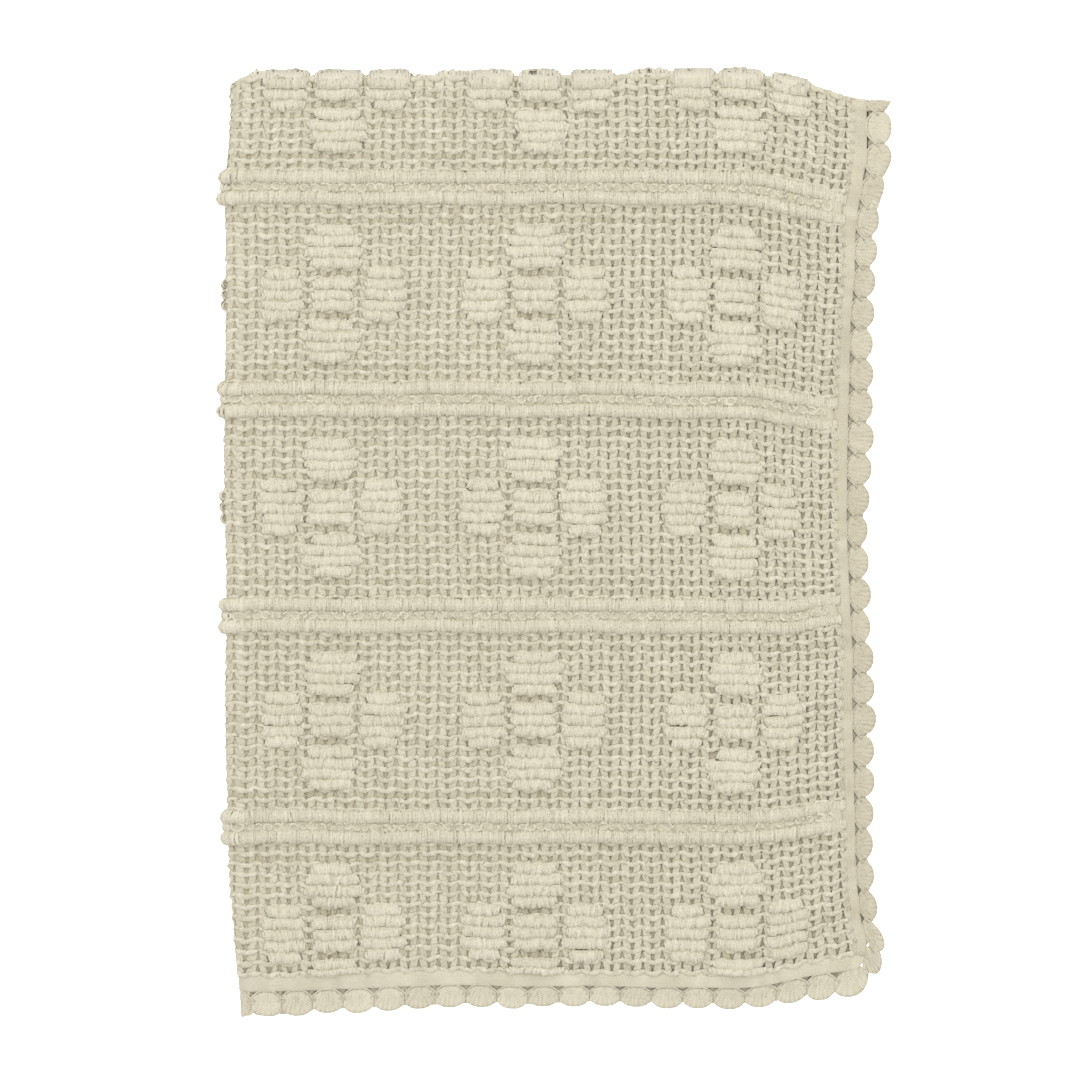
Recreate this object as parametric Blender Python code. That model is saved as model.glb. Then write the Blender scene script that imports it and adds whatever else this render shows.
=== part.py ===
# Cotton openwork blanket with a scalloped lace edging, folded in quarters and lying flat.
# Metres, +Z up. The origin is on the surface, under the middle of the folded blanket.
# The closed folds are at -X (side fold) and +Y (top fold); the lace edges are at +X and -Y.
#
# Each piece is drawn flat first, as it is cut: its first coordinate runs across the cloth from the
# side fold, the second along the cloth from the top fold, the third is the height above mid-cloth.
# The function lay_folded then turns every flat point over both folds.

import math

import bmesh
import bpy
import numpy as np

# Woven panel, flat
HALF_WIDTH = 0.330
HALF_LENGTH = 0.480
CLOTH_THICKNESS = 0.003

# Folds, measured at mid-cloth
TOP_RADIUS = 0.002
SIDE_RADIUS = 0.006
LAYER_CREEP = 0.25          # how far the outer layers are drawn round the side fold
TOP_ARC = TOP_RADIUS * math.pi / 2
SIDE_ARC = (SIDE_RADIUS + LAYER_CREEP * TOP_RADIUS) * math.pi / 2
MIDDLE_HEIGHT = SIDE_RADIUS + TOP_RADIUS + CLOTH_THICKNESS / 2
TOP_ARC_STEPS = 3           # on each side of the fold line
SIDE_ARC_STEPS = 4

# How the stack settles towards its open edges
GAP_CLOSED = 0.0035         # of the room between the two folded pairs
UNEVEN = 0.0005
UNEVEN_ACROSS = 0.045
UNEVEN_DOWN = 0.060
LACE_SAG = 0.4              # share of its height that the lace loses at its tips

# Outline as it lies: shifts of the edges from a true rectangle
SIDE_IN = (                 # distance down the side fold, and how far it lies in from a straight edge there
    (0.000, 0.0027), (0.012, 0.0033), (0.035, 0.0021), (0.052, 0.0003), (0.065, 0.0000), (0.085, 0.0006),
    (0.135, 0.0006), (0.165, 0.0000), (0.182, 0.0000), (0.200, -0.0005), (0.235, 0.0000), (0.255, 0.0008),
    (0.285, 0.0009), (0.330, 0.0003), (0.360, 0.0006), (0.385, 0.0014), (0.405, 0.0016), (0.430, 0.0027),
    (0.455, 0.0049), (0.480, 0.0071), (0.500, 0.0083), (0.520, 0.0088),
)
EDGE_OUT = (                # distance down the sewn edge, and how far it lies out
    (0.000, 0.0071), (0.012, 0.0073), (0.028, 0.0073), (0.039, 0.0056), (0.055, 0.0032), (0.071, 0.0021),
    (0.087, 0.0022), (0.103, 0.0026), (0.119, 0.0029), (0.135, 0.0030), (0.157, 0.0028), (0.189, 0.0022),
    (0.210, 0.0015), (0.226, 0.0005), (0.242, -0.0001), (0.258, 0.0002), (0.274, 0.0008), (0.290, 0.0016),
    (0.307, 0.0027), (0.344, 0.0032), (0.365, 0.0027), (0.392, 0.0026), (0.408, 0.0030), (0.425, 0.0032),
    (0.441, 0.0041), (0.452, 0.0053), (0.462, 0.0058), (0.470, 0.0076), (0.479, 0.0062), (0.492, 0.0052),
)
TOP_UP = (                  # distance from the side fold along the top fold, and how far it lies up
    (0.190, 0.0000), (0.205, 0.0008), (0.240, 0.0010), (0.278, 0.0013), (0.300, 0.0022), (0.308, 0.0018),
    (0.316, 0.0006), (0.324, 0.0002), (0.332, 0.0009), (0.350, 0.0012),
)
FOOT_DOWN = (               # distance from the side fold along the foot, and how far the hem lies down
    (0.000, 0.0019), (0.035, 0.0013), (0.070, 0.0006), (0.105, -0.0001), (0.125, 0.0001), (0.148, 0.0015),
    (0.190, 0.0013), (0.225, 0.0022), (0.256, 0.0024), (0.290, 0.0033), (0.313, 0.0032), (0.335, 0.0024),
)
LEFT_FOOT_DOWN = 0.0010
FOOT_SPREAD = 0.0038        # the short lace lies flatter, so wider, near the side fold
CORNER_IN = 0.0045          # how far the corner between the two folds is rounded off
LACE_TUCK = 0.0030          # how far the tips of the long lace are drawn in, below its top end
LACE_SPREAD = 0.0030        # and how far they spread at that end
EDGE_PULL = 0.0135          # the lace draws the long edge together, most at its two ends
PULL_TURNS = 0.290          # distance down at which the pull changes sides
PULL_LAST = 0.430
CORNER_OUT = 0.0045         # the lace ruffles outwards round the loose corner
CORNER_LOWER_IN = 0.0100    # where the lower layers are drawn in
CORNER_UP = 0.0048          # and the cloth with its tape is drawn up there
LOWER_IN = 0.0030           # lower layers lie in from the top one
LOWER_SLIP = 0.0070         # and their scallops have slipped along the edge

# Weave chart: one repeat holds a motif of five pile blocks, and a double pile band
COLUMN_REPEAT = 0.110
ROW_REPEAT = 0.114
CELL_WIDTH = 0.0055
CELL_HEIGHT = 0.00555
FIRST_COLUMN = 0.058        # middle of the first motif, from the side fold
FIRST_ROW = 0.004           # middle of the first motif row, from the top fold
COLUMNS = 3
ROWS = 5
BAND_AFTER = ROW_REPEAT / 2  # from a motif's middle to the band below it
BANDS = 4

# Blocks of a motif, in cells from its middle: left, right, upper, lower
BLOCKS = (
    {"left": -2.4, "right": 2.4, "upper": -6.4, "lower": -2.7},
    {"left": -2.1, "right": 2.1, "upper": -1.4, "lower": 1.4},
    {"left": -2.4, "right": 2.4, "upper": 2.7, "lower": 6.4},
    {"left": -6.9, "right": -3.0, "upper": -2.4, "lower": 2.4},
    {"left": 3.0, "right": 6.9, "upper": -2.4, "lower": 2.4},
)
BLOCK_RISE = 0.0030
SLOPE_ACROSS = 0.3 * CELL_WIDTH  # of the slopes round a block's crown
SLOPE_ALONG = 0.3 * CELL_HEIGHT
BLOCK_LAST = HALF_LENGTH - 0.003

# Section of a double band, along the cloth: two rolls with a row of low loops between them
BAND_SECTION = (
    {"along": -0.0098, "rise": 0.0},
    {"along": -0.0078, "rise": 0.0036},
    {"along": -0.0040, "rise": 0.0036},
    {"along": -0.0016, "rise": 0.0018},
    {"along": 0.0016, "rise": 0.0018},
    {"along": 0.0040, "rise": 0.0036},
    {"along": 0.0078, "rise": 0.0036},
    {"along": 0.0098, "rise": 0.0},
)
BAND_RUN_OUT = 0.006        # length over which a band sinks before the sewn edge
BAND_FULL = 0.25            # share of the lower half of the side fold where a band has its full rise
BAND_ENDS = 0.75            # and where it has sunk, so that the underside stays flat

# Lace edging, flat: a plain tape, then scallops with a gap between each two
SEWN_GAP = 0.0003
LACE_THICKNESS = 0.0012
LACE_WIDTH = 0.0185
TAPE_WIDTH = 0.0075
NOTCH_DEPTH = 0.0152        # from the cloth to the notch between two scallops
GAP_HALF_LENGTH = 0.0044
GAP_TIP = 0.0110
SCALLOPS_LONG = 55
SCALLOPS_SHORT = 40
SCALLOP_CROWN = 0.42        # half the flat crown of a scallop, in half pitches

# The scallops are not sewn on evenly: distance from the fold line along a strip, and slip from the even place
SLIPS_LONG = (
    (0.0, 0.0), (0.009, -0.0019), (0.061, -0.0037), (0.113, -0.0056), (0.166, -0.0059), (0.200, -0.0043),
    (0.253, -0.0036), (0.305, -0.0005), (0.340, 0.0002), (0.375, 0.0016), (0.410, 0.0023), (0.428, 0.0019),
    (0.462, -0.0008), (0.480, 0.0),
)
SLIPS_SHORT = (
    (0.0, 0.0), (0.0165, -0.0050), (0.033, -0.0068), (0.0495, -0.0054), (0.066, -0.0027), (0.0825, -0.0014),
    (0.231, -0.0011), (0.2805, -0.0015), (0.297, -0.0022), (0.3135, -0.0040), (0.330, 0.0),
)

# Lines of the coarse net over the cloth, counted in scallops from each fold line
NET_ACROSS = (5, 10, 14, 17, 19)
NET_ALONG = (5, 11, 17, 22, 26)

COTTON = {"name": "natural cotton weave", "color": (0.61, 0.56, 0.43), "roughness": 0.92}
LACE = {"name": "natural cotton lace", "color": (0.64, 0.59, 0.46), "roughness": 0.85}

WELD = 0.00001
TINY = 0.00001


def clear_scene():
    for thing in list(bpy.data.objects):
        bpy.data.objects.remove(thing, do_unlink=True)


def make_material(look):
    material = bpy.data.materials.new(look["name"])
    material.use_nodes = True
    shader = material.node_tree.nodes["Principled BSDF"]
    shader.inputs["Base Color"].default_value = (*look["color"], 1.0)
    shader.inputs["Roughness"].default_value = look["roughness"]
    shader.inputs["Metallic"].default_value = 0.0
    return material


def ramp(value, start, end):
    # 0 before start, 1 past end, an S-curve between
    share = np.clip((value - start) / (end - start), 0.0, 1.0)
    return share * share * (3.0 - 2.0 * share)


def settle(x, y, z, past_side, past_end):
    # Moves points of the ideal folded stack to where they lie; the last two are distances past the cloth's edges
    down = -y
    upper = z > MIDDLE_HEIGHT
    from_left = 1.0 - ramp(x, 0.0, 0.070)
    near_foot = ramp(down, 0.380, 0.480)
    depth = 1.0 - z / (2 * MIDDLE_HEIGHT)
    lower = ramp(depth, 0.10, 0.27)  # 0 in the top layer, 1 in the three under it
    slip = LOWER_SLIP * lower

    side_in = np.interp(down, *np.transpose(SIDE_IN))
    edge_out = np.interp(down, *np.transpose(EDGE_OUT)) - LOWER_IN * lower * ramp(down, 0.010, 0.060)
    below_top = ramp(down, 0.020, 0.125)
    tuck = (LACE_TUCK * below_top - LACE_SPREAD * (1.0 - below_top)) * ramp(past_side, 0.0, LACE_WIDTH)
    new_x = x + side_in * from_left + edge_out * ramp(x, 0.240, 0.335) - tuck
    new_x = new_x + slip * near_foot * (ramp(x, 0.010, 0.100) - ramp(x, 0.270, 0.335))

    pull = EDGE_PULL * np.cos(np.minimum(down, PULL_LAST) / PULL_TURNS * math.pi / 2)
    new_y = y - pull * ramp(x, 0.262, 0.335)
    new_y = new_y + np.interp(x, *np.transpose(TOP_UP)) * (1.0 - ramp(down, 0.0, 0.060))
    new_y = new_y - LEFT_FOOT_DOWN * (1.0 - ramp(x, 0.0, 0.160)) * near_foot
    new_y = new_y - FOOT_SPREAD * (1.0 - ramp(x, 0.040, 0.200)) * ramp(past_end, 0.0, LACE_WIDTH)
    new_y = new_y - CORNER_IN * (1.0 - ramp(x, -0.0095, 0.0020)) * (1.0 - ramp(down, 0.0, 0.030))
    new_y = new_y - slip * ramp(x, 0.262, 0.335) * (ramp(down, 0.010, 0.060) - ramp(down, 0.390, 0.480))
    foot_down = np.interp(x, *np.transpose(FOOT_DOWN)) - LOWER_IN * lower * ramp(x, 0.005, 0.050)
    new_y = new_y - foot_down * ramp(down, 0.400, 0.480)

    corner = ramp(x, 0.290, 0.342) * ramp(down, 0.450, 0.492) * (CORNER_OUT - CORNER_LOWER_IN * lower)
    sewn = 1.0 - ramp(np.maximum(past_side, past_end), TAPE_WIDTH, LACE_WIDTH)
    new_x = new_x + corner
    new_y = new_y - corner + CORNER_UP * sewn * ramp(x, 0.262, 0.335) * ramp(down, 0.430, 0.480)

    away = ramp(x, 0.020, 0.120)
    low = 1.0 - (1.0 - ramp(x, 0.100, 0.320)) * (1.0 - ramp(down, 0.330, 0.478) * away)
    waves = UNEVEN * np.sin(x / UNEVEN_ACROSS) * np.cos(down / UNEVEN_DOWN) * away
    new_z = z + np.where(upper, waves - GAP_CLOSED * low, 0.0)
    new_z = new_z * (1.0 - LACE_SAG * ramp(np.hypot(past_side, past_end), 0.0, LACE_WIDTH))
    return new_x, new_y, new_z


def lay_folded(points):
    # Turns flat points over the top fold, then both layers together over the side fold
    across, along, height = points.T
    top_turn = np.clip(along / TOP_RADIUS, -math.pi / 2, math.pi / 2)
    pair = TOP_RADIUS * np.sin(top_turn)
    y = TOP_RADIUS * np.cos(top_turn) - np.maximum(np.abs(along) - TOP_ARC, 0.0)

    bend = SIDE_RADIUS + LAYER_CREEP * pair
    side_turn = np.clip(across / bend, -math.pi / 2, math.pi / 2)
    straight = np.maximum(np.abs(across) - bend * math.pi / 2, 0.0)
    x = straight - (SIDE_RADIUS + pair) * np.cos(side_turn)
    z = MIDDLE_HEIGHT + (SIDE_RADIUS + pair) * np.sin(side_turn)

    past_side = np.maximum(np.abs(across) - HALF_WIDTH, 0.0)
    past_end = np.maximum(np.abs(along) - HALF_LENGTH, 0.0)
    middle = np.stack(settle(x, y, z, past_side, past_end), axis=1)
    upright = np.stack(
        (-np.sin(top_turn) * np.cos(side_turn), np.cos(top_turn), np.sin(top_turn) * np.sin(side_turn)), axis=1
    )
    return middle + height[:, None] * upright


def cut_across(bm, axis, places, wanted, keep_line):
    # Cuts the wanted faces by planes square to an axis; a kept line is marked as a seam
    normal = [0.0, 0.0, 0.0]
    normal[axis] = 1.0
    for place in places:
        point = [place * part for part in normal]
        faces = [face for face in bm.faces if wanted(face.calc_center_median(), face.normal)]
        edges = {edge for face in faces for edge in face.edges}
        corners = {corner for face in faces for corner in face.verts}
        result = bmesh.ops.bisect_plane(
            bm, geom=faces + list(edges) + list(corners), dist=TINY, plane_co=point, plane_no=normal
        )
        for edge in result["geom_cut"]:
            if keep_line and isinstance(edge, bmesh.types.BMEdge):
                edge.seam = True


def everywhere(center, normal):
    return True


def on_top_quarter(center, normal):
    # The outer side of the uppermost layer, with the folds that lead to it
    return normal.z > 0.5 and center.x > -SIDE_ARC and center.y > -TOP_ARC


def on_long_rim(center, normal):
    return abs(normal.x) > 0.99


def on_short_rim(center, normal):
    return abs(normal.y) > 0.99


def top_fold_lines():
    return [TOP_ARC * step / TOP_ARC_STEPS for step in range(-TOP_ARC_STEPS, TOP_ARC_STEPS + 1)]


def side_fold_lines():
    return [SIDE_ARC * step / SIDE_ARC_STEPS for step in range(-SIDE_ARC_STEPS, SIDE_ARC_STEPS + 1)]


def slipped(run, slips):
    return float(run + np.sign(run) * np.interp(abs(run), *np.transpose(slips)))


def long_joints():
    # Where two scallops of a long strip meet, from the top fold down
    pitch = 2 * HALF_LENGTH / SCALLOPS_LONG
    return [slipped((index + 0.5) * pitch, SLIPS_LONG) for index in range(SCALLOPS_LONG // 2)]


def short_joints():
    pitch = 2 * HALF_WIDTH / SCALLOPS_SHORT
    return [slipped(index * pitch, SLIPS_SHORT) for index in range(1, SCALLOPS_SHORT // 2)]


def both_ways(values):
    return [-value for value in values] + list(values)


def motif_blocks():
    # Flat edges of every pile block on the uppermost layer
    blocks = []
    for column in range(COLUMNS):
        middle_x = FIRST_COLUMN + column * COLUMN_REPEAT
        for row in range(ROWS):
            middle_y = FIRST_ROW + row * ROW_REPEAT
            for block in BLOCKS:
                upper = max(middle_y + block["upper"] * CELL_HEIGHT, -0.7 * TOP_ARC)
                lower = min(middle_y + block["lower"] * CELL_HEIGHT, BLOCK_LAST - SLOPE_ALONG)
                if lower - upper < CELL_HEIGHT:
                    continue
                blocks.append({
                    "left": middle_x + block["left"] * CELL_WIDTH,
                    "right": middle_x + block["right"] * CELL_WIDTH,
                    "upper": upper,
                    "lower": lower,
                })
    return blocks


def band_middles():
    return [FIRST_ROW + BAND_AFTER + index * ROW_REPEAT for index in range(BANDS)]


def block_rise(block, across, along):
    out_across = max(block["left"] - across, across - block["right"]) / SLOPE_ACROSS
    out_along = max(block["upper"] - along, along - block["lower"]) / SLOPE_ALONG
    return BLOCK_RISE * min(max(1.0 - max(out_across, out_along), 0.0), 1.0)


def band_rise(middle, across, along):
    offsets = [point["along"] for point in BAND_SECTION]
    rises = [point["rise"] for point in BAND_SECTION]
    rise = float(np.interp(along - middle, offsets, rises))
    edge = min(max((HALF_WIDTH - across) / BAND_RUN_OUT, 0.0), 1.0)
    under = min(max((across / SIDE_ARC + BAND_ENDS) / (BAND_ENDS - BAND_FULL), 0.0), 1.0)
    return rise * edge * under


def raise_pile(bm):
    # Cuts the uppermost side along the edges of blocks and bands, and lifts the points between them
    blocks = motif_blocks()
    across = {HALF_WIDTH - BAND_RUN_OUT}
    along = set()
    for block in blocks:
        across |= {block["left"] - SLOPE_ACROSS, block["left"], block["right"], block["right"] + SLOPE_ACROSS}
        along |= {block["upper"] - SLOPE_ALONG, block["upper"], block["lower"], block["lower"] + SLOPE_ALONG}
    for middle in band_middles():
        along |= {middle + point["along"] for point in BAND_SECTION}
    cut_across(bm, 0, sorted(across), on_top_quarter, False)
    cut_across(bm, 1, sorted(along), on_top_quarter, False)

    for corner in bm.verts:
        if corner.co.z < 0.0:
            continue
        rise = max(block_rise(block, corner.co.x, corner.co.y) for block in blocks)
        bands = max(band_rise(middle, corner.co.x, corner.co.y) for middle in band_middles())
        corner.co.z += max(rise, bands)
    bm.normal_update()


def join_flat_faces(bm):
    # Takes out the cuts that lie in a flat place, apart from the net and the fold lines
    bmesh.ops.dissolve_limit(
        bm, angle_limit=math.radians(0.5), verts=bm.verts[:], edges=bm.edges[:], delimit={"SEAM"}
    )
    bm.normal_update()


def make_cloth():
    bm = bmesh.new()
    bmesh.ops.create_cube(bm, size=1.0)
    bmesh.ops.scale(bm, vec=(2 * HALF_WIDTH, 2 * HALF_LENGTH, CLOTH_THICKNESS), verts=bm.verts[:])
    cut_across(bm, 0, side_fold_lines(), everywhere, True)
    cut_across(bm, 1, top_fold_lines(), everywhere, True)
    cut_across(bm, 0, both_ways([short_joints()[index - 1] for index in NET_ACROSS]), everywhere, True)
    cut_across(bm, 1, both_ways([long_joints()[index] for index in NET_ALONG]), everywhere, True)
    raise_pile(bm)
    join_flat_faces(bm)
    cut_across(bm, 1, both_ways(long_joints()), on_long_rim, False)
    cut_across(bm, 0, both_ways(short_joints()), on_short_rim, False)
    return bm


def add_face(bm, points):
    bm.faces.new([bm.verts.new((x, y, 0.0)) for x, y in points])


def add_scallop(bm, middle, pitch):
    # One repeat of the edging, drawn with its tape along X and its tips towards +Y
    half = pitch / 2
    foot = half - GAP_HALF_LENGTH
    crown = SCALLOP_CROWN * half
    tape = [(-half, SEWN_GAP), (half, SEWN_GAP), (half, TAPE_WIDTH), (foot, TAPE_WIDTH), (-foot, TAPE_WIDTH),
            (-half, TAPE_WIDTH)]
    leaf = [(-foot, TAPE_WIDTH), (foot, TAPE_WIDTH), (half, GAP_TIP), (half, NOTCH_DEPTH), (crown, LACE_WIDTH),
            (-crown, LACE_WIDTH), (-half, NOTCH_DEPTH), (-half, GAP_TIP)]
    for outline in (tape, leaf):
        add_face(bm, [(x + middle, y) for x, y in outline])


def add_corner(bm, start, side):
    # The end of a short strip: two scallops that turn the corner of the cloth
    half = HALF_WIDTH / SCALLOPS_SHORT
    foot = half - SCALLOP_CROWN * half
    turn = 0.74 * LACE_WIDTH
    tape = [(0.0, SEWN_GAP), (NOTCH_DEPTH, SEWN_GAP), (GAP_HALF_LENGTH, TAPE_WIDTH), (0.0, TAPE_WIDTH)]
    leaf = [(GAP_HALF_LENGTH, TAPE_WIDTH), (NOTCH_DEPTH, SEWN_GAP), (LACE_WIDTH, foot),
            (LACE_WIDTH, turn - foot), (turn, turn), (turn - foot, LACE_WIDTH), (foot, LACE_WIDTH),
            (0.0, NOTCH_DEPTH), (0.0, GAP_TIP)]
    for outline in (tape, leaf):
        points = [(side * (start + x), y) for x, y in outline]
        add_face(bm, points if side > 0 else points[::-1])


def thicken_strip(bm):
    bmesh.ops.remove_doubles(bm, verts=bm.verts[:], dist=WELD)
    bmesh.ops.translate(bm, vec=(0.0, 0.0, -LACE_THICKNESS / 2), verts=bm.verts[:])
    lower = bm.faces[:]
    result = bmesh.ops.extrude_face_region(bm, geom=lower, use_keep_orig=True)
    upper = [item for item in result["geom"] if isinstance(item, bmesh.types.BMVert)]
    bmesh.ops.translate(bm, vec=(0.0, 0.0, LACE_THICKNESS), verts=upper)
    bmesh.ops.recalc_face_normals(bm, faces=bm.faces[:])


def make_long_strip(side):
    # Runs along the cloth on its right (side 1) or its left (side -1) long edge
    bm = bmesh.new()
    pitch = 2 * HALF_LENGTH / SCALLOPS_LONG
    for index in range(SCALLOPS_LONG):
        add_scallop(bm, (index - (SCALLOPS_LONG - 1) / 2) * pitch, pitch)
    thicken_strip(bm)
    for corner in bm.verts:
        along, out, height = corner.co
        corner.co = (side * (HALF_WIDTH + out), slipped(along, SLIPS_LONG), height)
    bmesh.ops.recalc_face_normals(bm, faces=bm.faces[:])
    cut_across(bm, 1, top_fold_lines(), everywhere, False)
    return bm


def make_short_strip(side):
    # Runs across the cloth at its near (side 1) or far (side -1) end, corners included
    bm = bmesh.new()
    pitch = 2 * HALF_WIDTH / SCALLOPS_SHORT
    for index in range(SCALLOPS_SHORT):
        add_scallop(bm, (index - (SCALLOPS_SHORT - 1) / 2) * pitch, pitch)
    for end in (-1, 1):
        add_corner(bm, HALF_WIDTH, end)
    thicken_strip(bm)
    for corner in bm.verts:
        across, out, height = corner.co
        corner.co = (slipped(across, SLIPS_SHORT), side * (HALF_LENGTH + out), height)
    bmesh.ops.recalc_face_normals(bm, faces=bm.faces[:])
    cut_across(bm, 0, side_fold_lines(), everywhere, False)
    return bm


def finish_piece(name, bm, material):
    bmesh.ops.triangulate(bm, faces=bm.faces[:], quad_method="BEAUTY", ngon_method="BEAUTY")
    corners = bm.verts[:]
    laid = lay_folded(np.array([corner.co[:] for corner in corners]))
    for corner, place in zip(corners, laid):
        corner.co = place
    if bm.calc_volume(signed=True) < 0.0:  # the flat drawing is a mirror image of the laid piece
        bmesh.ops.reverse_faces(bm, faces=bm.faces[:])
    mesh = bpy.data.meshes.new(name)
    bm.to_mesh(mesh)
    bm.free()
    mesh.materials.append(material)
    piece = bpy.data.objects.new(name, mesh)
    bpy.context.scene.collection.objects.link(piece)
    return piece


def center_over_origin(pieces):
    points = [corner.co for piece in pieces for corner in piece.data.vertices]
    shift_x = (min(point.x for point in points) + max(point.x for point in points)) / 2
    shift_y = (min(point.y for point in points) + max(point.y for point in points)) / 2
    for piece in pieces:
        for corner in piece.data.vertices:
            corner.co.x -= shift_x
            corner.co.y -= shift_y


def main():
    clear_scene()
    cotton = make_material(COTTON)
    lace = make_material(LACE)
    pieces = [
        finish_piece("blanket_cloth", make_cloth(), cotton),
        finish_piece("lace_long_outer", make_long_strip(1), lace),
        finish_piece("lace_long_inner", make_long_strip(-1), lace),
        finish_piece("lace_short_outer", make_short_strip(1), lace),
        finish_piece("lace_short_inner", make_short_strip(-1), lace),
    ]
    center_over_origin(pieces)


main()
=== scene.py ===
import math

import bmesh
import bpy
import numpy as np
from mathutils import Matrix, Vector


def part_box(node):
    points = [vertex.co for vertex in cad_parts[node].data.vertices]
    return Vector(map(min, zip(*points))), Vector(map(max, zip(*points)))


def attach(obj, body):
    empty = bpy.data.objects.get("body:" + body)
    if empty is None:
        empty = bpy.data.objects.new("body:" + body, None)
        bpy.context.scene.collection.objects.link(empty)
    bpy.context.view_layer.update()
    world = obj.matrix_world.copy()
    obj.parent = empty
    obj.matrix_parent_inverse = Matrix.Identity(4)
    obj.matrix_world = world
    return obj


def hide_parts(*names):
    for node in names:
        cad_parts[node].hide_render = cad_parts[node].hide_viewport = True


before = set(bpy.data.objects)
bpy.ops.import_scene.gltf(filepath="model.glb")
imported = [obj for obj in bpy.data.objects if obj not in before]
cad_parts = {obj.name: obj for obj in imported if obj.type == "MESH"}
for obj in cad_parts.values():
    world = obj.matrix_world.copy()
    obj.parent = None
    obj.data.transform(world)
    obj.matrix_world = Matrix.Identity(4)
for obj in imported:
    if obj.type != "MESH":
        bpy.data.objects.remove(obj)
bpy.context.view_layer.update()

# Cotton openwork blanket with pile blocks and a scalloped lace edging, folded in quarters.
# Metres. Each yarn is drawn flat first, as (across, along, height): across from the side fold,
# along from the top fold, height above mid-cloth. layFolded then turns it over both folds.

lie = {  # how the cloth lies, the same as in the solids
    "halfWidth": 0.330, "halfLength": 0.480, "clothThickness": 0.003,
    "topRadius": 0.002, "sideRadius": 0.006, "layerCreep": 0.25,
    "gapClosed": 0.0035, "uneven": 0.0005, "unevenAcross": 0.045, "unevenDown": 0.060, "laceSag": 0.4,
    "leftFootDown": 0.0010, "footSpread": 0.0038, "cornerIn": 0.0045,
    "laceTuck": 0.0030, "laceSpread": 0.0030, "edgePull": 0.0135, "pullTurns": 0.290, "pullLast": 0.430,
    "cornerOut": 0.0045, "cornerLowerIn": 0.0100, "cornerUp": 0.0048, "lowerIn": 0.0030,
    "lowerSlip": 0.0070, "tapeWidth": 0.0075, "laceWidth": 0.0185,
}
zones = {  # where each change in the lie starts, and where it is whole
    "lowerLayers": (0.10, 0.27),  # a share of the pile's height, from its top
    "sideFold": (0.0, 0.070), "edge": (0.240, 0.335), "seam": (0.262, 0.335),  # across, from the side fold
    "slipLeft": (0.010, 0.100), "slipRight": (0.270, 0.335), "footLeft": (0.0, 0.160),
    "footMiddle": (0.040, 0.200), "hemLeft": (0.005, 0.050), "foldCorner": (-0.0095, 0.0020),
    "openCorner": (0.290, 0.342), "awayFromFold": (0.020, 0.120), "closing": (0.100, 0.320),
    "topFold": (0.0, 0.060), "belowTop": (0.010, 0.060), "tuckDown": (0.020, 0.125),  # down, from the top
    "cornerTop": (0.0, 0.030), "closingDown": (0.330, 0.478), "foot": (0.380, 0.480),
    "slipFoot": (0.390, 0.480), "hem": (0.400, 0.480), "cornerLift": (0.430, 0.480),
    "cornerFoot": (0.450, 0.492),
}
sideIn = np.array([  # down the side fold, and how far it lies in from a straight edge, in millimetres
    (0, 2.7), (12, 3.3), (35, 2.1), (52, 0.3), (65, 0.0), (85, 0.6), (135, 0.6), (165, 0.0), (182, 0.0),
    (200, -0.5), (235, 0.0), (255, 0.8), (285, 0.9), (330, 0.3), (360, 0.6), (385, 1.4), (405, 1.6),
    (430, 2.7), (455, 4.9), (480, 7.1), (500, 8.3), (520, 8.8),
]) / 1000
edgeOut = np.array([  # down the sewn edge, and how far it lies out
    (0, 7.1), (12, 7.3), (28, 7.3), (39, 5.6), (55, 3.2), (71, 2.1), (87, 2.2), (103, 2.6), (119, 2.9),
    (135, 3.0), (157, 2.8), (189, 2.2), (210, 1.5), (226, 0.5), (242, -0.1), (258, 0.2), (274, 0.8),
    (290, 1.6), (307, 2.7), (344, 3.2), (365, 2.7), (392, 2.6), (408, 3.0), (425, 3.2), (441, 4.1),
    (452, 5.3), (462, 5.8), (470, 7.6), (479, 6.2), (492, 5.2),
]) / 1000
topUp = np.array([  # along the top fold, and how far it lies up
    (190, 0.0), (205, 0.8), (240, 1.0), (278, 1.3), (300, 2.2), (308, 1.8), (316, 0.6), (324, 0.2),
    (332, 0.9), (350, 1.2),
]) / 1000
footDown = np.array([  # along the foot, and how far the hem lies down
    (0, 1.9), (35, 1.3), (70, 0.6), (105, -0.1), (125, 0.1), (148, 1.5), (190, 1.3), (225, 2.2), (256, 2.4),
    (290, 3.3), (313, 3.2), (335, 2.4),
]) / 1000
topArc = lie["topRadius"] * math.pi / 2
sideArc = (lie["sideRadius"] + lie["layerCreep"] * lie["topRadius"]) * math.pi / 2
middleHeight = lie["sideRadius"] + lie["topRadius"] + lie["clothThickness"] / 2


def ease(value, start, end):  # 0 before start, 1 past end, an S-curve between
    share = np.clip((value - start) / (end - start), 0.0, 1.0)
    return share * share * (3.0 - 2.0 * share)


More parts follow.
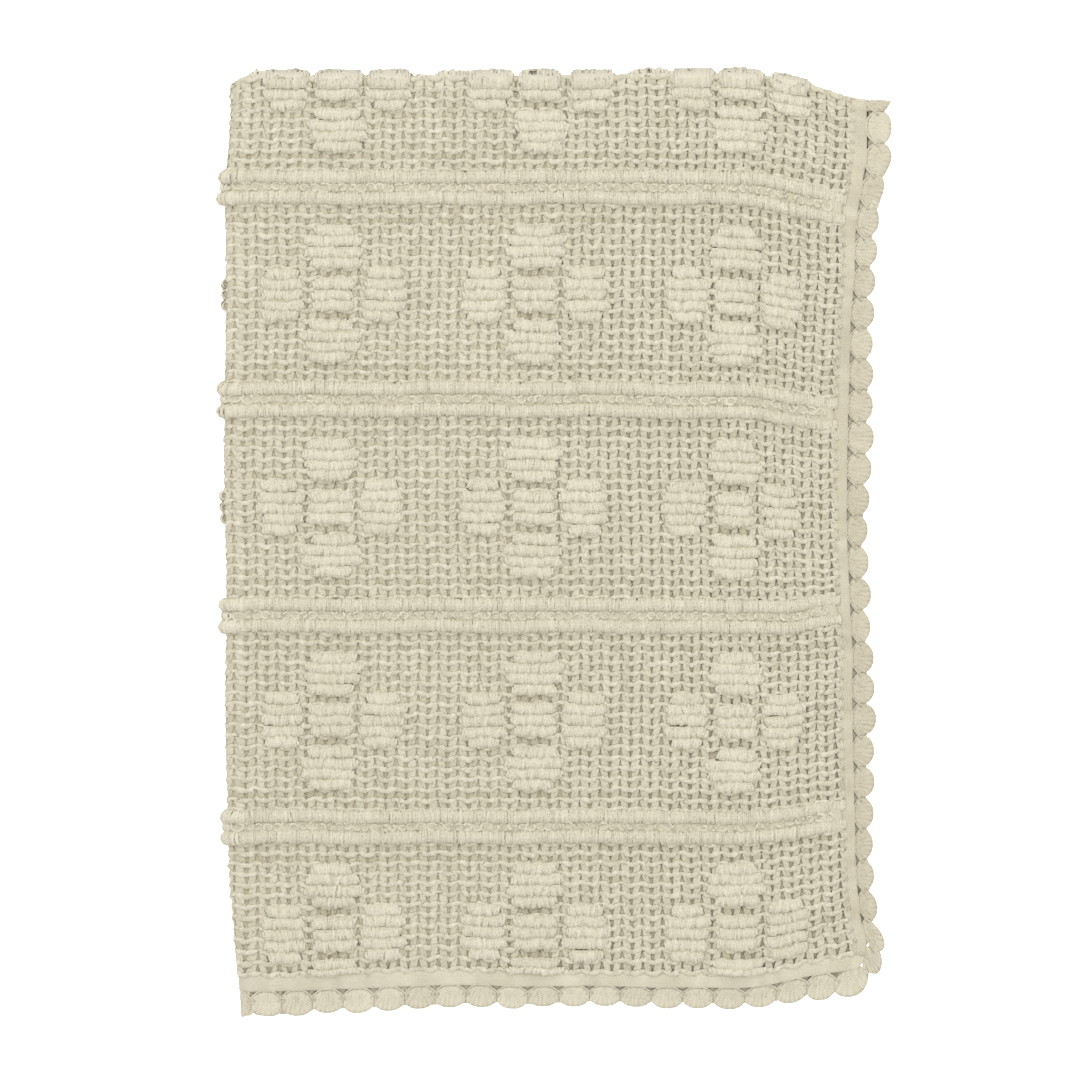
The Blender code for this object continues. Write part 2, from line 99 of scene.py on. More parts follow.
def settle(x, y, z, pastSide, pastEnd):  # from the ideal folded stack to where it lies
    down = -y
    nearFoot = ease(down, *zones["foot"])
    atSeam = ease(x, *zones["seam"])
    depth = 1.0 - z / (2 * middleHeight)
    lower = ease(depth, *zones["lowerLayers"])  # 0 in the top layer, 1 in the three under it
    slip = lie["lowerSlip"] * lower

    inwards = np.interp(down, *sideIn.T)
    outwards = np.interp(down, *edgeOut.T) - lie["lowerIn"] * lower * ease(down, *zones["belowTop"])
    tucked = ease(down, *zones["tuckDown"])
    tuck = lie["laceTuck"] * tucked - lie["laceSpread"] * (1.0 - tucked)
    tuck = tuck * ease(pastSide, 0.0, lie["laceWidth"])
    newX = x + inwards * (1.0 - ease(x, *zones["sideFold"])) + outwards * ease(x, *zones["edge"]) - tuck
    newX = newX + slip * nearFoot * (ease(x, *zones["slipLeft"]) - ease(x, *zones["slipRight"]))

    pull = lie["edgePull"] * np.cos(np.minimum(down, lie["pullLast"]) / lie["pullTurns"] * math.pi / 2)
    newY = y - pull * atSeam
    newY = newY + np.interp(x, *topUp.T) * (1.0 - ease(down, *zones["topFold"]))
    newY = newY - lie["leftFootDown"] * (1.0 - ease(x, *zones["footLeft"])) * nearFoot
    spread = lie["footSpread"] * (1.0 - ease(x, *zones["footMiddle"]))
    newY = newY - spread * ease(pastEnd, 0.0, lie["laceWidth"])
    cornerIn = lie["cornerIn"] * (1.0 - ease(x, *zones["foldCorner"]))
    newY = newY - cornerIn * (1.0 - ease(down, *zones["cornerTop"]))
    newY = newY - slip * atSeam * (ease(down, *zones["belowTop"]) - ease(down, *zones["slipFoot"]))
    hemDown = np.interp(x, *footDown.T) - lie["lowerIn"] * lower * ease(x, *zones["hemLeft"])
    newY = newY - hemDown * ease(down, *zones["hem"])

    corner = ease(x, *zones["openCorner"]) * ease(down, *zones["cornerFoot"])
    corner = corner * (lie["cornerOut"] - lie["cornerLowerIn"] * lower)
    sewn = 1.0 - ease(np.maximum(pastSide, pastEnd), lie["tapeWidth"], lie["laceWidth"])
    newX = newX + corner
    newY = newY - corner + lie["cornerUp"] * sewn * atSeam * ease(down, *zones["cornerLift"])

    away = ease(x, *zones["awayFromFold"])
    low = 1.0 - (1.0 - ease(x, *zones["closing"])) * (1.0 - ease(down, *zones["closingDown"]) * away)
    waves = lie["uneven"] * np.sin(x / lie["unevenAcross"]) * np.cos(down / lie["unevenDown"]) * away
    newZ = z + np.where(z > middleHeight, waves - lie["gapClosed"] * low, 0.0)
    newZ = newZ * (1.0 - lie["laceSag"] * ease(np.hypot(pastSide, pastEnd), 0.0, lie["laceWidth"]))
    return newX, newY, newZ


def layFolded(points):
    across, along, height = points.T
    topTurn = np.clip(along / lie["topRadius"], -math.pi / 2, math.pi / 2)
    pair = lie["topRadius"] * np.sin(topTurn)
    y = lie["topRadius"] * np.cos(topTurn) - np.maximum(np.abs(along) - topArc, 0.0)
    bend = lie["sideRadius"] + lie["layerCreep"] * pair
    sideTurn = np.clip(across / bend, -math.pi / 2, math.pi / 2)
    straight = np.maximum(np.abs(across) - bend * math.pi / 2, 0.0)
    x = straight - (lie["sideRadius"] + pair) * np.cos(sideTurn)
    z = middleHeight + (lie["sideRadius"] + pair) * np.sin(sideTurn)
    pastSide = np.maximum(np.abs(across) - lie["halfWidth"], 0.0)
    pastEnd = np.maximum(np.abs(along) - lie["halfLength"], 0.0)
    middle = np.stack(settle(x, y, z, pastSide, pastEnd), axis=1)
    upright = np.stack(
        (-np.sin(topTurn) * np.cos(sideTurn), np.cos(topTurn), np.sin(topTurn) * np.sin(sideTurn)), axis=1
    )
    return middle + height[:, None] * upright


# The solids are centred over the origin: the fold's outermost points give that shift back
proud = {"left": 0.0036, "top": 0.0030, "topBend": 0.00113}  # how far those stand out past the bare cloth
clothLow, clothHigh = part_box("blanket_cloth")
centreShift = np.array([
    -(lie["topRadius"] + lie["sideRadius"] + lie["clothThickness"] / 2 + proud["left"]) - clothLow[0],
    lie["topRadius"] + lie["clothThickness"] / 2 + proud["top"] + proud["topBend"] - clothHigh[1],
    0.0,
])
print("centre shift", [round(float(value), 5) for value in centreShift])


# Materials

def linear(hexCode):  # sRGB hex to linear red, green, blue, alpha
    parts = [int(hexCode[i:i + 2], 16) / 255 for i in (1, 3, 5)]
    return (*[part / 12.92 if part <= 0.04045 else ((part + 0.055) / 1.055) ** 2.4 for part in parts], 1.0)


def startMaterial(name):
    material = bpy.data.materials.new(name)
    material.use_nodes = True
    material.node_tree.nodes.clear()
    return material


def addNode(material, kind, settings, links):  # links: socket -> (node, its output)
    node = material.node_tree.nodes.new(kind)
    for key, value in settings.items():
        if isinstance(key, int) or key in node.inputs:
            node.inputs[key].default_value = value
        else:
            setattr(node, key, value)
    for socket, (source, output) in links.items():
        material.node_tree.links.new(source.outputs[output], node.inputs[socket])
    return node


yarnLook = {  # soft ecru cotton, matt with a little fuzz
    "dark": "#B3AB90", "light": "#E5DFCB", "roughness": 0.92, "sheen": 0.15,
    "twist": 0.0018, "fibre": 0.0010, "relief": 0.00035, "patch": 0.045, "patchShare": 0.16, "fleck": 0.55,
}
laceLook = {  # mercerised lace thread, a shade smoother and warmer
    "dark": "#AFA58A", "light": "#E3DCC6", "roughness": 0.85, "sheen": 0.12,
    "twist": 0.0011, "fibre": 0.0009, "relief": 0.00030, "patch": 0.030, "patchShare": 0.18, "fleck": 0.50,
}
groundLook = {  # the shaded inner weave, seen through the holes
    "dark": "#B8B098", "light": "#C8C0A9", "roughness": 0.95, "cell": 0.0055, "relief": 0.0006,
}


def makeYarn(name, look):
    # Spun cotton: the twist runs round each strand, fine fibres break the light,
    # and the tone varies by strand and by patch
    material = startMaterial(name)
    tone = addNode(material, "ShaderNodeAttribute", {"attribute_name": "tone"}, {})
    place = addNode(material, "ShaderNodeTexCoord", {}, {})
    patch = addNode(material, "ShaderNodeTexNoise", {"Scale": 1 / look["patch"], "Detail": 3.0},
                    {"Vector": (place, "Object")})
    fibre = addNode(material, "ShaderNodeTexNoise", {"Scale": 1 / look["fibre"], "Detail": 2.0},
                    {"Vector": (place, "Object")})
    shift = addNode(material, "ShaderNodeMath", {"operation": "MULTIPLY_ADD", 1: look["patchShare"],
                    2: -(look["patchShare"] + look["fleck"]) / 2}, {0: (patch, "Fac")})
    fleck = addNode(material, "ShaderNodeMath", {"operation": "MULTIPLY_ADD", 1: look["fleck"]},
                    {0: (fibre, "Fac"), 2: (shift, "Value")})
    share = addNode(material, "ShaderNodeMath", {"operation": "ADD", "use_clamp": True},
                    {0: (tone, "Fac"), 1: (fleck, "Value")})
    colour = addNode(material, "ShaderNodeMix", {"data_type": "RGBA", 6: linear(look["dark"]),
                     7: linear(look["light"])}, {0: (share, "Value")})
    strand = addNode(material, "ShaderNodeUVMap", {"uv_map": "strand"}, {})
    parts = addNode(material, "ShaderNodeSeparateXYZ", {}, {"Vector": (strand, "UV")})
    turn = addNode(material, "ShaderNodeMath", {"operation": "MULTIPLY", 1: 2 * math.pi / look["twist"]},
                   {0: (parts, "X")})
    lean = addNode(material, "ShaderNodeMath", {"operation": "MULTIPLY_ADD", 1: 4 * math.pi},
                   {0: (parts, "Y"), 2: (turn, "Value")})
    ply = addNode(material, "ShaderNodeMath", {"operation": "SINE"}, {0: (lean, "Value")})
    height = addNode(material, "ShaderNodeMath", {"operation": "MULTIPLY_ADD", 1: 0.35},
                     {0: (ply, "Value"), 2: (fibre, "Fac")})
    bump = addNode(material, "ShaderNodeBump", {"Strength": 0.8, "Distance": look["relief"]},
                   {"Height": (height, "Value")})
    shader = addNode(material, "ShaderNodeBsdfPrincipled", {"Roughness": look["roughness"],
                     "Sheen Weight": look["sheen"], "Sheen Roughness": 0.5, "Specular IOR Level": 0.25},
                     {"Base Color": (colour, 2), "Normal": (bump, "Normal")})
    addNode(material, "ShaderNodeOutputMaterial", {}, {"Surface": (shader, "BSDF")})
    return material


def makeGround(name, look):
    # The under weave in shade: a soft grid of crossing yarns at the cell size
    material = startMaterial(name)
    flat = addNode(material, "ShaderNodeUVMap", {"uv_map": "cloth"}, {})
    parts = addNode(material, "ShaderNodeSeparateXYZ", {}, {"Vector": (flat, "UV")})
    waves = []
    for axis in ("X", "Y"):
        turn = addNode(material, "ShaderNodeMath", {"operation": "MULTIPLY", 1: 2 * math.pi / look["cell"]},
                       {0: (parts, axis)})
        waves.append(addNode(material, "ShaderNodeMath", {"operation": "SINE"}, {0: (turn, "Value")}))
    crossing = addNode(material, "ShaderNodeMath", {"operation": "MULTIPLY"},
                       {0: (waves[0], "Value"), 1: (waves[1], "Value")})
    share = addNode(material, "ShaderNodeMath", {"operation": "MULTIPLY_ADD", 1: 0.5, 2: 0.5},
                    {0: (crossing, "Value")})
    colour = addNode(material, "ShaderNodeMix", {"data_type": "RGBA", 6: linear(look["dark"]),
                     7: linear(look["light"])}, {0: (share, "Value")})
    bump = addNode(material, "ShaderNodeBump", {"Strength": 0.7, "Distance": look["relief"]},
                   {"Height": (share, "Value")})
    shader = addNode(material, "ShaderNodeBsdfPrincipled", {"Roughness": look["roughness"],
                     "Specular IOR Level": 0.2}, {"Base Color": (colour, 2), "Normal": (bump, "Normal")})
    addNode(material, "ShaderNodeOutputMaterial", {}, {"Surface": (shader, "BSDF")})
    return material


cottonYarn = makeYarn("ecru spun cotton yarn", yarnLook)
laceThread = makeYarn("ecru cotton lace thread", laceLook)
shadedWeave = makeGround("shaded cotton under weave", groundLook)


# Yarns are swept in the flat, then laid: many small bodies joined in one mesh

roundSection = np.array([(math.cos(turn), math.sin(turn)) for turn in np.radians((-25, 35, 90, 145, 205))])
pairSection = np.array([  # two yarns side by side
    (1.0, -0.15), (0.84, 0.62), (0.40, 0.80), (0.0, 0.52), (-0.40, 0.80), (-0.84, 0.62), (-1.0, -0.15),
])
tapeSection = np.array([  # a flat tape with ridges along it
    (1.0, -0.9), (0.97, 0.5), (0.70, 0.85), (0.50, 0.70), (0.34, 0.90), (0.05, 0.95),
    (-0.10, 0.80), (-0.26, 0.98), (-0.60, 0.90), (-0.76, 0.70), (-0.97, 0.5), (-1.0, -0.9),
])


def sweep(centres, wide, high, section, tone, sideways=None, keep=None, lumps=0.0):
    # One body along each row of centres; keep says which steps of a row are there,
    # and lumps how uneven the yarn is
    runs, steps, sides = centres.shape[0], centres.shape[1], len(section)
    wide = np.broadcast_to(wide, (runs, steps))
    high = np.broadcast_to(high, (runs, steps))
    tone = np.broadcast_to(tone, (runs, steps))
    ahead = np.gradient(centres, axis=1)
    ahead = ahead / np.linalg.norm(ahead, axis=2, keepdims=True)
    if sideways is None:
        side = np.cross(np.array([0.0, 0.0, 1.0]), ahead)
        side = side / np.linalg.norm(side, axis=2, keepdims=True)
    else:
        side = np.broadcast_to(np.array(sideways), ahead.shape)
    over = np.cross(ahead, side)
    rings = centres[:, :, None, :] + side[:, :, None, :] * (section[:, 0] * wide[:, :, None])[..., None]
    rings = rings + over[:, :, None, :] * (section[:, 1] * high[:, :, None])[..., None]
    if lumps > 0.0:
        rings = rings + np.random.default_rng(runs).normal(0, lumps, rings.shape)

    number = np.arange(runs * steps * sides).reshape(runs, steps, sides)
    following = np.roll(number, -1, axis=2)
    if keep is None:
        keep = np.ones((runs, steps - 1), bool)
    quads = np.stack((number[:, :-1], number[:, 1:], following[:, 1:], following[:, :-1]), axis=-1)
    gaps = np.pad(keep, ((0, 0), (1, 1)))
    starts = gaps[:, 1:] & ~gaps[:, :-1]
    ends = gaps[:, :-1] & ~gaps[:, 1:]
    caps = np.concatenate((number[starts], number[ends][:, ::-1]))

    walked = np.zeros((runs, steps))
    walked[:, 1:] = np.cumsum(np.linalg.norm(np.diff(centres, axis=1), axis=2), axis=1)
    u = np.broadcast_to(walked[:, :, None], number.shape)
    v = np.broadcast_to(np.arange(sides) / sides, number.shape)
    past = v + 1 / sides
    quadU = np.stack((u[:, :-1], u[:, 1:], u[:, 1:], u[:, :-1]), axis=-1)
    quadV = np.stack((v[:, :-1], v[:, 1:], past[:, 1:], past[:, :-1]), axis=-1)
    capU = u.reshape(-1)[caps]
    capV = v.reshape(-1)[caps]
    return {
        "points": rings.reshape(-1, 3),
        "tone": np.broadcast_to(tone[:, :, None], number.shape).reshape(-1),
        "faces": [quads[keep].reshape(-1, 4), caps],
        "uv": [
            np.stack((quadU[keep], quadV[keep]), axis=-1).reshape(-1, 4, 2),
            np.stack((capU, capV), axis=-1),
        ],
    }


def turnOutward(points, faces, uv):
    # Reverses a part whose faces point inwards
    volume = 0.0
    for group in faces:
        first = points[group[:, 0]]
        for corner in range(1, group.shape[1] - 1):
            second, third = points[group[:, corner]], points[group[:, corner + 1]]
            volume += np.einsum("ij,ij->", first, np.cross(second, third))
    if volume < 0.0:
        return [group[:, ::-1] for group in faces], [group[:, ::-1] for group in uv]
    return faces, uv


def pressed(laid):  # yarn that would reach below the table lies flattened on it
    room = 0.0008
    laid[:, 2] = np.where(laid[:, 2] < room, room * np.exp((laid[:, 2] - room) / room), laid[:, 2])
    return laid


def makePiece(name, parts, material):
    laidParts, tones, faceGroups, uvGroups = [], [], [], []
    offset = 0
    for part in parts:
        laid = pressed(layFolded(part["points"]) - centreShift)
        faces, uv = turnOutward(laid - laid.mean(axis=0), part["faces"], part["uv"])
        used = np.zeros(len(laid), bool)
        for group in faces:
            used[group.ravel()] = True
        renumber = np.cumsum(used) - 1 + offset
        laidParts.append(laid[used])
        tones.append(part["tone"][used])
        faceGroups.extend(renumber[group] for group in faces)
        uvGroups.extend(uv)
        offset += int(used.sum())
    points = np.concatenate(laidParts)
    sizes = np.concatenate([np.full(len(group), group.shape[1]) for group in faceGroups])
    corners = np.concatenate([group.ravel() for group in faceGroups])
    mesh = bpy.data.meshes.new(name)
    mesh.vertices.add(len(points))
    mesh.vertices.foreach_set("co", points.ravel())
    mesh.loops.add(len(corners))
    mesh.loops.foreach_set("vertex_index", corners)
    mesh.polygons.add(len(sizes))
    mesh.polygons.foreach_set("loop_start", np.cumsum(sizes) - sizes)
    mesh.polygons.foreach_set("use_smooth", np.ones(len(sizes), bool))
    mesh.update(calc_edges=True)
    strandUv = mesh.uv_layers.new(name="strand")
    strandUv.data.foreach_set("uv", np.concatenate([group.reshape(-1) for group in uvGroups]))
    mesh.attributes.new("tone", "FLOAT", "POINT").data.foreach_set("value", np.concatenate(tones))
    mesh.materials.append(material)
    piece = bpy.data.objects.new(name, mesh)
    bpy.context.scene.collection.objects.link(piece)
    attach(piece, "root")
    print(name, "has", int((sizes - 2).sum()), "triangles")
    return piece


# The under weave: one folded sheet that carries the yarns

ground = {
    "upper": 0.0005, "open": 0.0004, "openZone": (0.12, 0.28), "lower": -0.0013,  # its two faces
    "cell": 0.010, "foldSteps": 6,
}


def makeGroundSheet():
    foldAcross = sideArc * np.linspace(-1, 1, 2 * ground["foldSteps"] + 1)
    foldAlong = topArc * np.linspace(-1, 1, 2 * ground["foldSteps"] + 1)
    restAcross = np.linspace(sideArc, lie["halfWidth"], int(lie["halfWidth"] / ground["cell"]))[1:]
    restAlong = np.linspace(topArc, lie["halfLength"], int(lie["halfLength"] / ground["cell"]))[1:]
    linesAcross = np.concatenate((-restAcross[::-1], foldAcross, restAcross))
    linesAlong = np.concatenate((-restAlong[::-1], foldAlong, restAlong))
    bm = bmesh.new()
    bmesh.ops.create_grid(bm, x_segments=len(linesAcross) - 1, y_segments=len(linesAlong) - 1, size=1.0)
    for corner in bm.verts:
        column = round((corner.co.x + 1) / 2 * (len(linesAcross) - 1))
        row = round((corner.co.y + 1) / 2 * (len(linesAlong) - 1))
        corner.co = (linesAcross[column], linesAlong[row], ground["lower"])
    result = bmesh.ops.extrude_face_region(bm, geom=bm.faces[:], use_keep_orig=True)
    lifted = [item for item in result["geom"] if isinstance(item, bmesh.types.BMVert)]
    inOrder = sorted(bm.faces, key=lambda face: face.calc_center_median()[:])
    for number, face in enumerate(inOrder):
        face.index = number
    bm.faces.sort()  # extrude lists the side faces in another order on each run
    for corner in lifted:  # the holes are deeper towards the sewn edge, where the weave is open
        corner.co.z = ground["upper"] - ground["open"] * float(ease(abs(corner.co.x), *ground["openZone"]))
    bmesh.ops.recalc_face_normals(bm, faces=bm.faces[:])
    uvLayer = bm.loops.layers.uv.new("cloth")
    for face in bm.faces:
        face.smooth = abs(face.normal.z) > 0.5
        for loop in face.loops:
            loop[uvLayer].uv = loop.vert.co.xy
    laid = layFolded(np.array([corner.co[:] for corner in bm.verts])) - centreShift
    for corner, place in zip(bm.verts, laid):
        corner.co = place
    if bm.calc_volume(signed=True) < 0.0:
        bmesh.ops.reverse_faces(bm, faces=bm.faces[:])
    mesh = bpy.data.meshes.new("groundSheet")
    bm.to_mesh(mesh)
    bm.free()
    mesh.materials.append(shadedWeave)
    piece = bpy.data.objects.new("groundSheet", mesh)
    bpy.context.scene.collection.objects.link(piece)
    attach(piece, "root")
    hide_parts("blanket_cloth")
    return piece


groundSheet = makeGroundSheet()
print("under weave laid")


# Weave chart: bars stand on whole columns, holes lie between them; cords run on half rows

chart = {
    "firstColumn": 0.0588, "firstRow": 0.004, "cellWidth": 0.005443, "cellHeight": 0.00555,
    "columnRepeat": 20, "rowRepeat": 0.114, "rows": 5, "rowsAside": 8,
    "lastRegular": 30, "lastColumn": 51, "crowding": 0.0000285,  # columns crowd towards the sewn edge
    "topFirst": -13, "underFirst": -71,
    "cordRolls": 0.3, "barRolls": 0.1,  # how far inside a roll's ends cords and bars stop, in columns
}
motifRolls = [{"row": row, "middle": middle, "half": half} for row, middle, half in (
    (-6, 0, 2.0), (-5, 0, 2.7), (-4, 0, 2.7), (-3, 0, 2.2), (-1, 0, 2.1), (0, 0, 2.1), (1, 0, 2.1),
    (3, 0, 2.2), (4, 0, 2.7), (5, 0, 2.7), (6, 0, 2.0),
    (-2, -5, 1.6), (-1, -5, 2.1), (0, -5, 2.1), (1, -5, 2.1), (2, -5, 1.6),
    (-2, 5, 1.6), (-1, 5, 2.1), (0, 5, 2.1), (1, 5, 2.1), (2, 5, 1.6),
)]
cords = {
    "radius": 0.00121, "knot": 0.00034, "knotLift": 0.6, "swing": 0.00064, "height": 0.00060,
    "flat": 0.80, "foldFlat": 0.25, "foldReach": 0.012, "scatter": 0.00012, "lumps": 0.00026,
    "tone": 0.72, "barTone": 0.10, "toneScatter": 0.12, "steps": 4, "seed": 11,
}
bars = {
    "half": 0.00204, "high": 0.00095, "slant": 0.00072, "aside": 0.00004, "height": 0.00050,
    "climb": 0.00030, "endShare": 0.94, "narrowing": 0.09, "narrowFrom": 32, "foldWide": 1.2,
    "tone": 0.60, "rollPaintedShade": 0.24, "bandPaintedShade": 0.16, "bandRow": 7, "toneScatter": 0.07,
    "wideScatter": 0.07, "lumps": 0.00016, "seed": 12,
}
underYarns = {  # the turned-under half, of which little shows
    "cordSteps": 1.5, "cordRadius": 0.00085, "cordHeight": 0.0003, "cordTone": 0.70,
    "barSteps": 68, "barShare": 0.85, "barHigh": 0.0007, "barHeight": 0.0001, "barTone": 0.55,
}


def columnPlace(column):
    crowded = chart["crowding"] * np.maximum(column - chart["lastRegular"], 0.0) ** 2 / 2
    return chart["firstColumn"] + chart["cellWidth"] * column - crowded


rowShifts = np.array([  # along, and how far the rows lie past their even places, in millimetres
    (0, 0.6), (25, 1.0), (45, 0.7), (57, -0.5), (68, -1.1), (95, -0.9), (125, 0.1), (150, 0.2), (171, -1.1),
    (185, -1.2), (205, -1.0), (228, -0.5), (252, 0.8), (285, 1.1), (298, 0.3), (320, -0.3), (345, -0.1),
    (365, 0.9), (390, 1.2), (399, 0.5), (414, -0.9), (440, -1.6), (460, -1.2), (480, 0.0),
]) / 1000
sewnIn = np.array([  # along, and how far in the right tape is sewn on the upper layer, in millimetres
    (95, 0.0), (109, 1.6), (120, 2.7), (141, 3.4), (174, 4.0), (206, 3.9), (228, 2.5), (255, 1.2),
    (291, 1.2), (313, 1.3), (335, 2.0), (356, 1.6), (377, 0.6), (398, 0.0),
]) / 1000
stray = {  # how far hand-loomed rows and columns stray from their even places, and where
    "acrossWave": 0.00030, "acrossRipple": 0.00022, "alongWave": 0.00024, "alongRipple": 0.00020,
    "leanTop": 0.0020, "leanTopDown": (0.030, 0.080), "leanBelow": 0.0010, "leanBelowDown": (0.060, 0.150),
    "leanFrom": (0.020, 0.070), "leanTo": (0.240, 0.295), "swayTo": (0.300, 0.330), "tape": (0.262, 0.330),
    "sway": 0.0011, "swayAt": (0.200, 0.060), "footSway": 0.0009, "footSwayAt": (0.380, 0.035),
    "dip": 0.0045, "dipAt": (0.290, 0.020), "dipFrom": (0.302, 0.330),
    "sag": 0.0020, "sagAt": (0.210, 0.090), "footSag": 0.8, "footSagAt": (0.370, 0.040),
    "sagFrom": (0.190, 0.320), "sagTo": (0.326, 0.334),
    "askewAllowed": 0.0006, "askewDown": (0.350, 0.400), "askewUnder": (0.004, 0.050),
}


def hump(value, middle, width):  # 1 at the middle, fading out on both sides
    return np.exp(-((value - middle) / width) ** 2)


def keptStraight(across, along):
    # Near its foot the side fold runs askew, but the yarns that cross it stay straight
    along = np.abs(along)
    askew = np.maximum(np.interp(along, *sideIn.T) - stray["askewAllowed"], 0.0)
    askew = askew * ease(along, *stray["askewDown"])
    upper = 1 - ease(across, *zones["sideFold"])
    under = 1 - ease(-across, *stray["askewUnder"])
    return askew * np.where(across > 0, upper, under)


def drift(across, along):  # how far the yarns at a place in the flat have moved, across and along
    moveAcross = stray["acrossWave"] * np.sin(across / 0.023 + 1.3) * np.cos(along / 0.031)
    moveAcross = moveAcross + stray["acrossRipple"] * np.sin(along / 0.017 + across / 0.041)
    lean = stray["leanTop"] * (1 - ease(along, *stray["leanTopDown"]))
    lean = lean + stray["leanBelow"] * (1 - ease(along, *stray["leanBelowDown"]))
    moveAcross = moveAcross + lean * (ease(across, *stray["leanFrom"]) - ease(across, *stray["leanTo"]))
    sway = -stray["sway"] * hump(along, *stray["swayAt"])
    sway = sway - stray["footSway"] * hump(along, *stray["footSwayAt"])
    moveAcross = moveAcross + sway * (1 - ease(across, *stray["swayTo"]))
    moveAcross = moveAcross - keptStraight(across, along)
    moveAcross = moveAcross - np.interp(along, *sewnIn.T) * ease(across, *stray["tape"])

    moveAlong = stray["alongWave"] * np.sin(across / 0.027 + 0.4) * np.cos(along / 0.043 + 1.0)
    moveAlong = moveAlong + stray["alongRipple"] * np.sin(across / 0.0135 + along / 0.020)
    moveAlong = moveAlong + np.interp(along, *rowShifts.T)
    dip = stray["dip"] * hump(along, *stray["dipAt"])
    moveAlong = moveAlong - dip * ease(across, *stray["dipFrom"])
    sag = hump(along, *stray["sagAt"]) + stray["footSag"] * hump(along, *stray["footSagAt"])
    sagging = ease(across, *stray["sagFrom"]) - ease(across, *stray["sagTo"])
    moveAlong = moveAlong + stray["sag"] * sag * sagging
    return moveAcross, moveAlong


def rowPlace(repeat, row):
    return chart["firstRow"] + repeat * chart["rowRepeat"] + row * chart["cellHeight"]


def underRoll(row, columns, inside):
    # True where a pile roll of the motif covers these columns
    nearest = (columns + chart["columnRepeat"] / 2) % chart["columnRepeat"] - chart["columnRepeat"] / 2
    covered = np.zeros(columns.shape, bool)
    for roll in motifRolls:
        if roll["row"] == row:
            covered |= np.abs(nearest - roll["middle"]) < roll["half"] - inside
    return covered


def cordRows():
    # repeat and half row of each cord, from just past the top fold to the hem
    found = []
    for repeat in range(chart["rows"]):
        for step in range(2 * chart["rowsAside"] + 2):
            row = step - chart["rowsAside"] - 0.5
            if -0.006 < rowPlace(repeat, row) < lie["halfLength"] - 0.0005:
                found.append((repeat, row))
    return found


def makeCords(first, last, steps, radius, height, tone):
    rng = np.random.default_rng(cords["seed"])
    columns = np.linspace(first, last, int((last - first) * steps) + 1)
    middles = (columns[:-1] + columns[1:]) / 2
    across = columnPlace(columns)
    turn = np.cos(math.pi * (columns - 0.5))  # 1 over a slit hole, -1 over a wide one
    onBar = (1 + np.cos(2 * math.pi * columns)) / 2  # 1 where a bar stands, 0 over a hole
    overFold = (1 - ease(across, 0.0, cords["foldReach"])) * ease(across, -cords["foldReach"], 0.0)
    lines, widths, heights, keeps = [], [], [], []
    for repeat, row in cordRows():
        along = rowPlace(repeat, row) - cords["swing"] * turn + rng.normal(0, cords["scatter"], len(columns))
        moveAcross, moveAlong = drift(across, along)
        knot = cords["knot"] * ((1.0 - turn) / 2 + 0.5 * onBar)
        knot = knot + rng.normal(0, cords["scatter"], len(columns))
        lift = height + cords["knotLift"] * knot
        lines.append(np.stack((across + moveAcross, along + moveAlong, lift), axis=1))
        widths.append(radius + knot)
        heights.append((radius + knot) * (cords["flat"] - cords["foldFlat"] * overFold))
        rollAbove = underRoll(math.floor(row), middles, chart["cordRolls"])
        rollBelow = underRoll(math.ceil(row), middles, chart["cordRolls"])
        keeps.append(~(rollAbove & rollBelow))
    shade = tone + cords["barTone"] * (onBar - 0.5)[None, :]
    shade = shade + rng.normal(0, cords["toneScatter"], (len(lines), len(columns)))
    return sweep(np.array(lines), np.array(widths), np.array(heights), roundSection, shade,
                 keep=np.array(keeps), lumps=cords["lumps"])


def makeBars(first, last):
    rng = np.random.default_rng(bars["seed"])
    columns = np.arange(first, last + 1)
    downs = np.array([(-1.0, 0.0, 1.0)])  # upper end, middle and lower end of a bar
    reach = chart["cellHeight"] / 2
    lines, widths, tones = [], [], []
    for repeat in range(chart["rows"]):
        for row in range(-chart["rowsAside"], chart["rowsAside"] + 1):
            if not -0.004 < rowPlace(repeat, row) < lie["halfLength"] - 0.002:
                continue
            free = columns[~underRoll(row, columns, chart["barRolls"])]
            count = len(free)
            slitLeft = np.where((free - 1) % 2 == 0, 1.0, -1.0)  # 1 where the hole to the left is a slit
            along = rowPlace(repeat, row) + reach * downs + rng.normal(0, 0.00010, (count, 3))
            lean = slitLeft[:, None] * (bars["slant"] * downs - bars["aside"])
            across = columnPlace(free)[:, None] + lean + rng.normal(0, 0.00014, (count, 1))
            moveAcross, moveAlong = drift(across, along)
            rise = bars["height"] + bars["climb"] * downs ** 2 + 0 * across  # the ends climb to the cords
            lines.append(np.stack((across + moveAcross, along + moveAlong, rise), axis=2))
            narrow = 1.0 - bars["narrowing"] * ease(free, bars["narrowFrom"], chart["lastColumn"])
            if repeat == 0 and row < 1:  # stretched over the top fold the holes close
                narrow = narrow * bars["foldWide"]
            half = bars["half"] * narrow * (1 + rng.normal(0, bars["wideScatter"], count))
            widths.append(half[:, None] * np.array([(bars["endShare"], 1.0, bars["endShare"])]))
            rollAbove = underRoll(row - 1, free, chart["barRolls"])
            rollBelow = underRoll(row + 1, free, chart["barRolls"])
            # painted shade: bars with a pile roll above and below them, and bars of the band row, are
            # darkened for the shade the pile casts on them
            shaded = bars["rollPaintedShade"] * (rollAbove & rollBelow)
            shaded = shaded + bars["bandPaintedShade"] * (abs(row) == bars["bandRow"])
            shade = bars["tone"] - shaded + rng.normal(0, bars["toneScatter"], count)
            tones.append(shade[:, None] + rng.normal(0, 0.05, (count, 3)))
    return sweep(np.concatenate(lines), np.concatenate(widths), bars["high"], pairSection,
                 np.concatenate(tones), lumps=bars["lumps"])


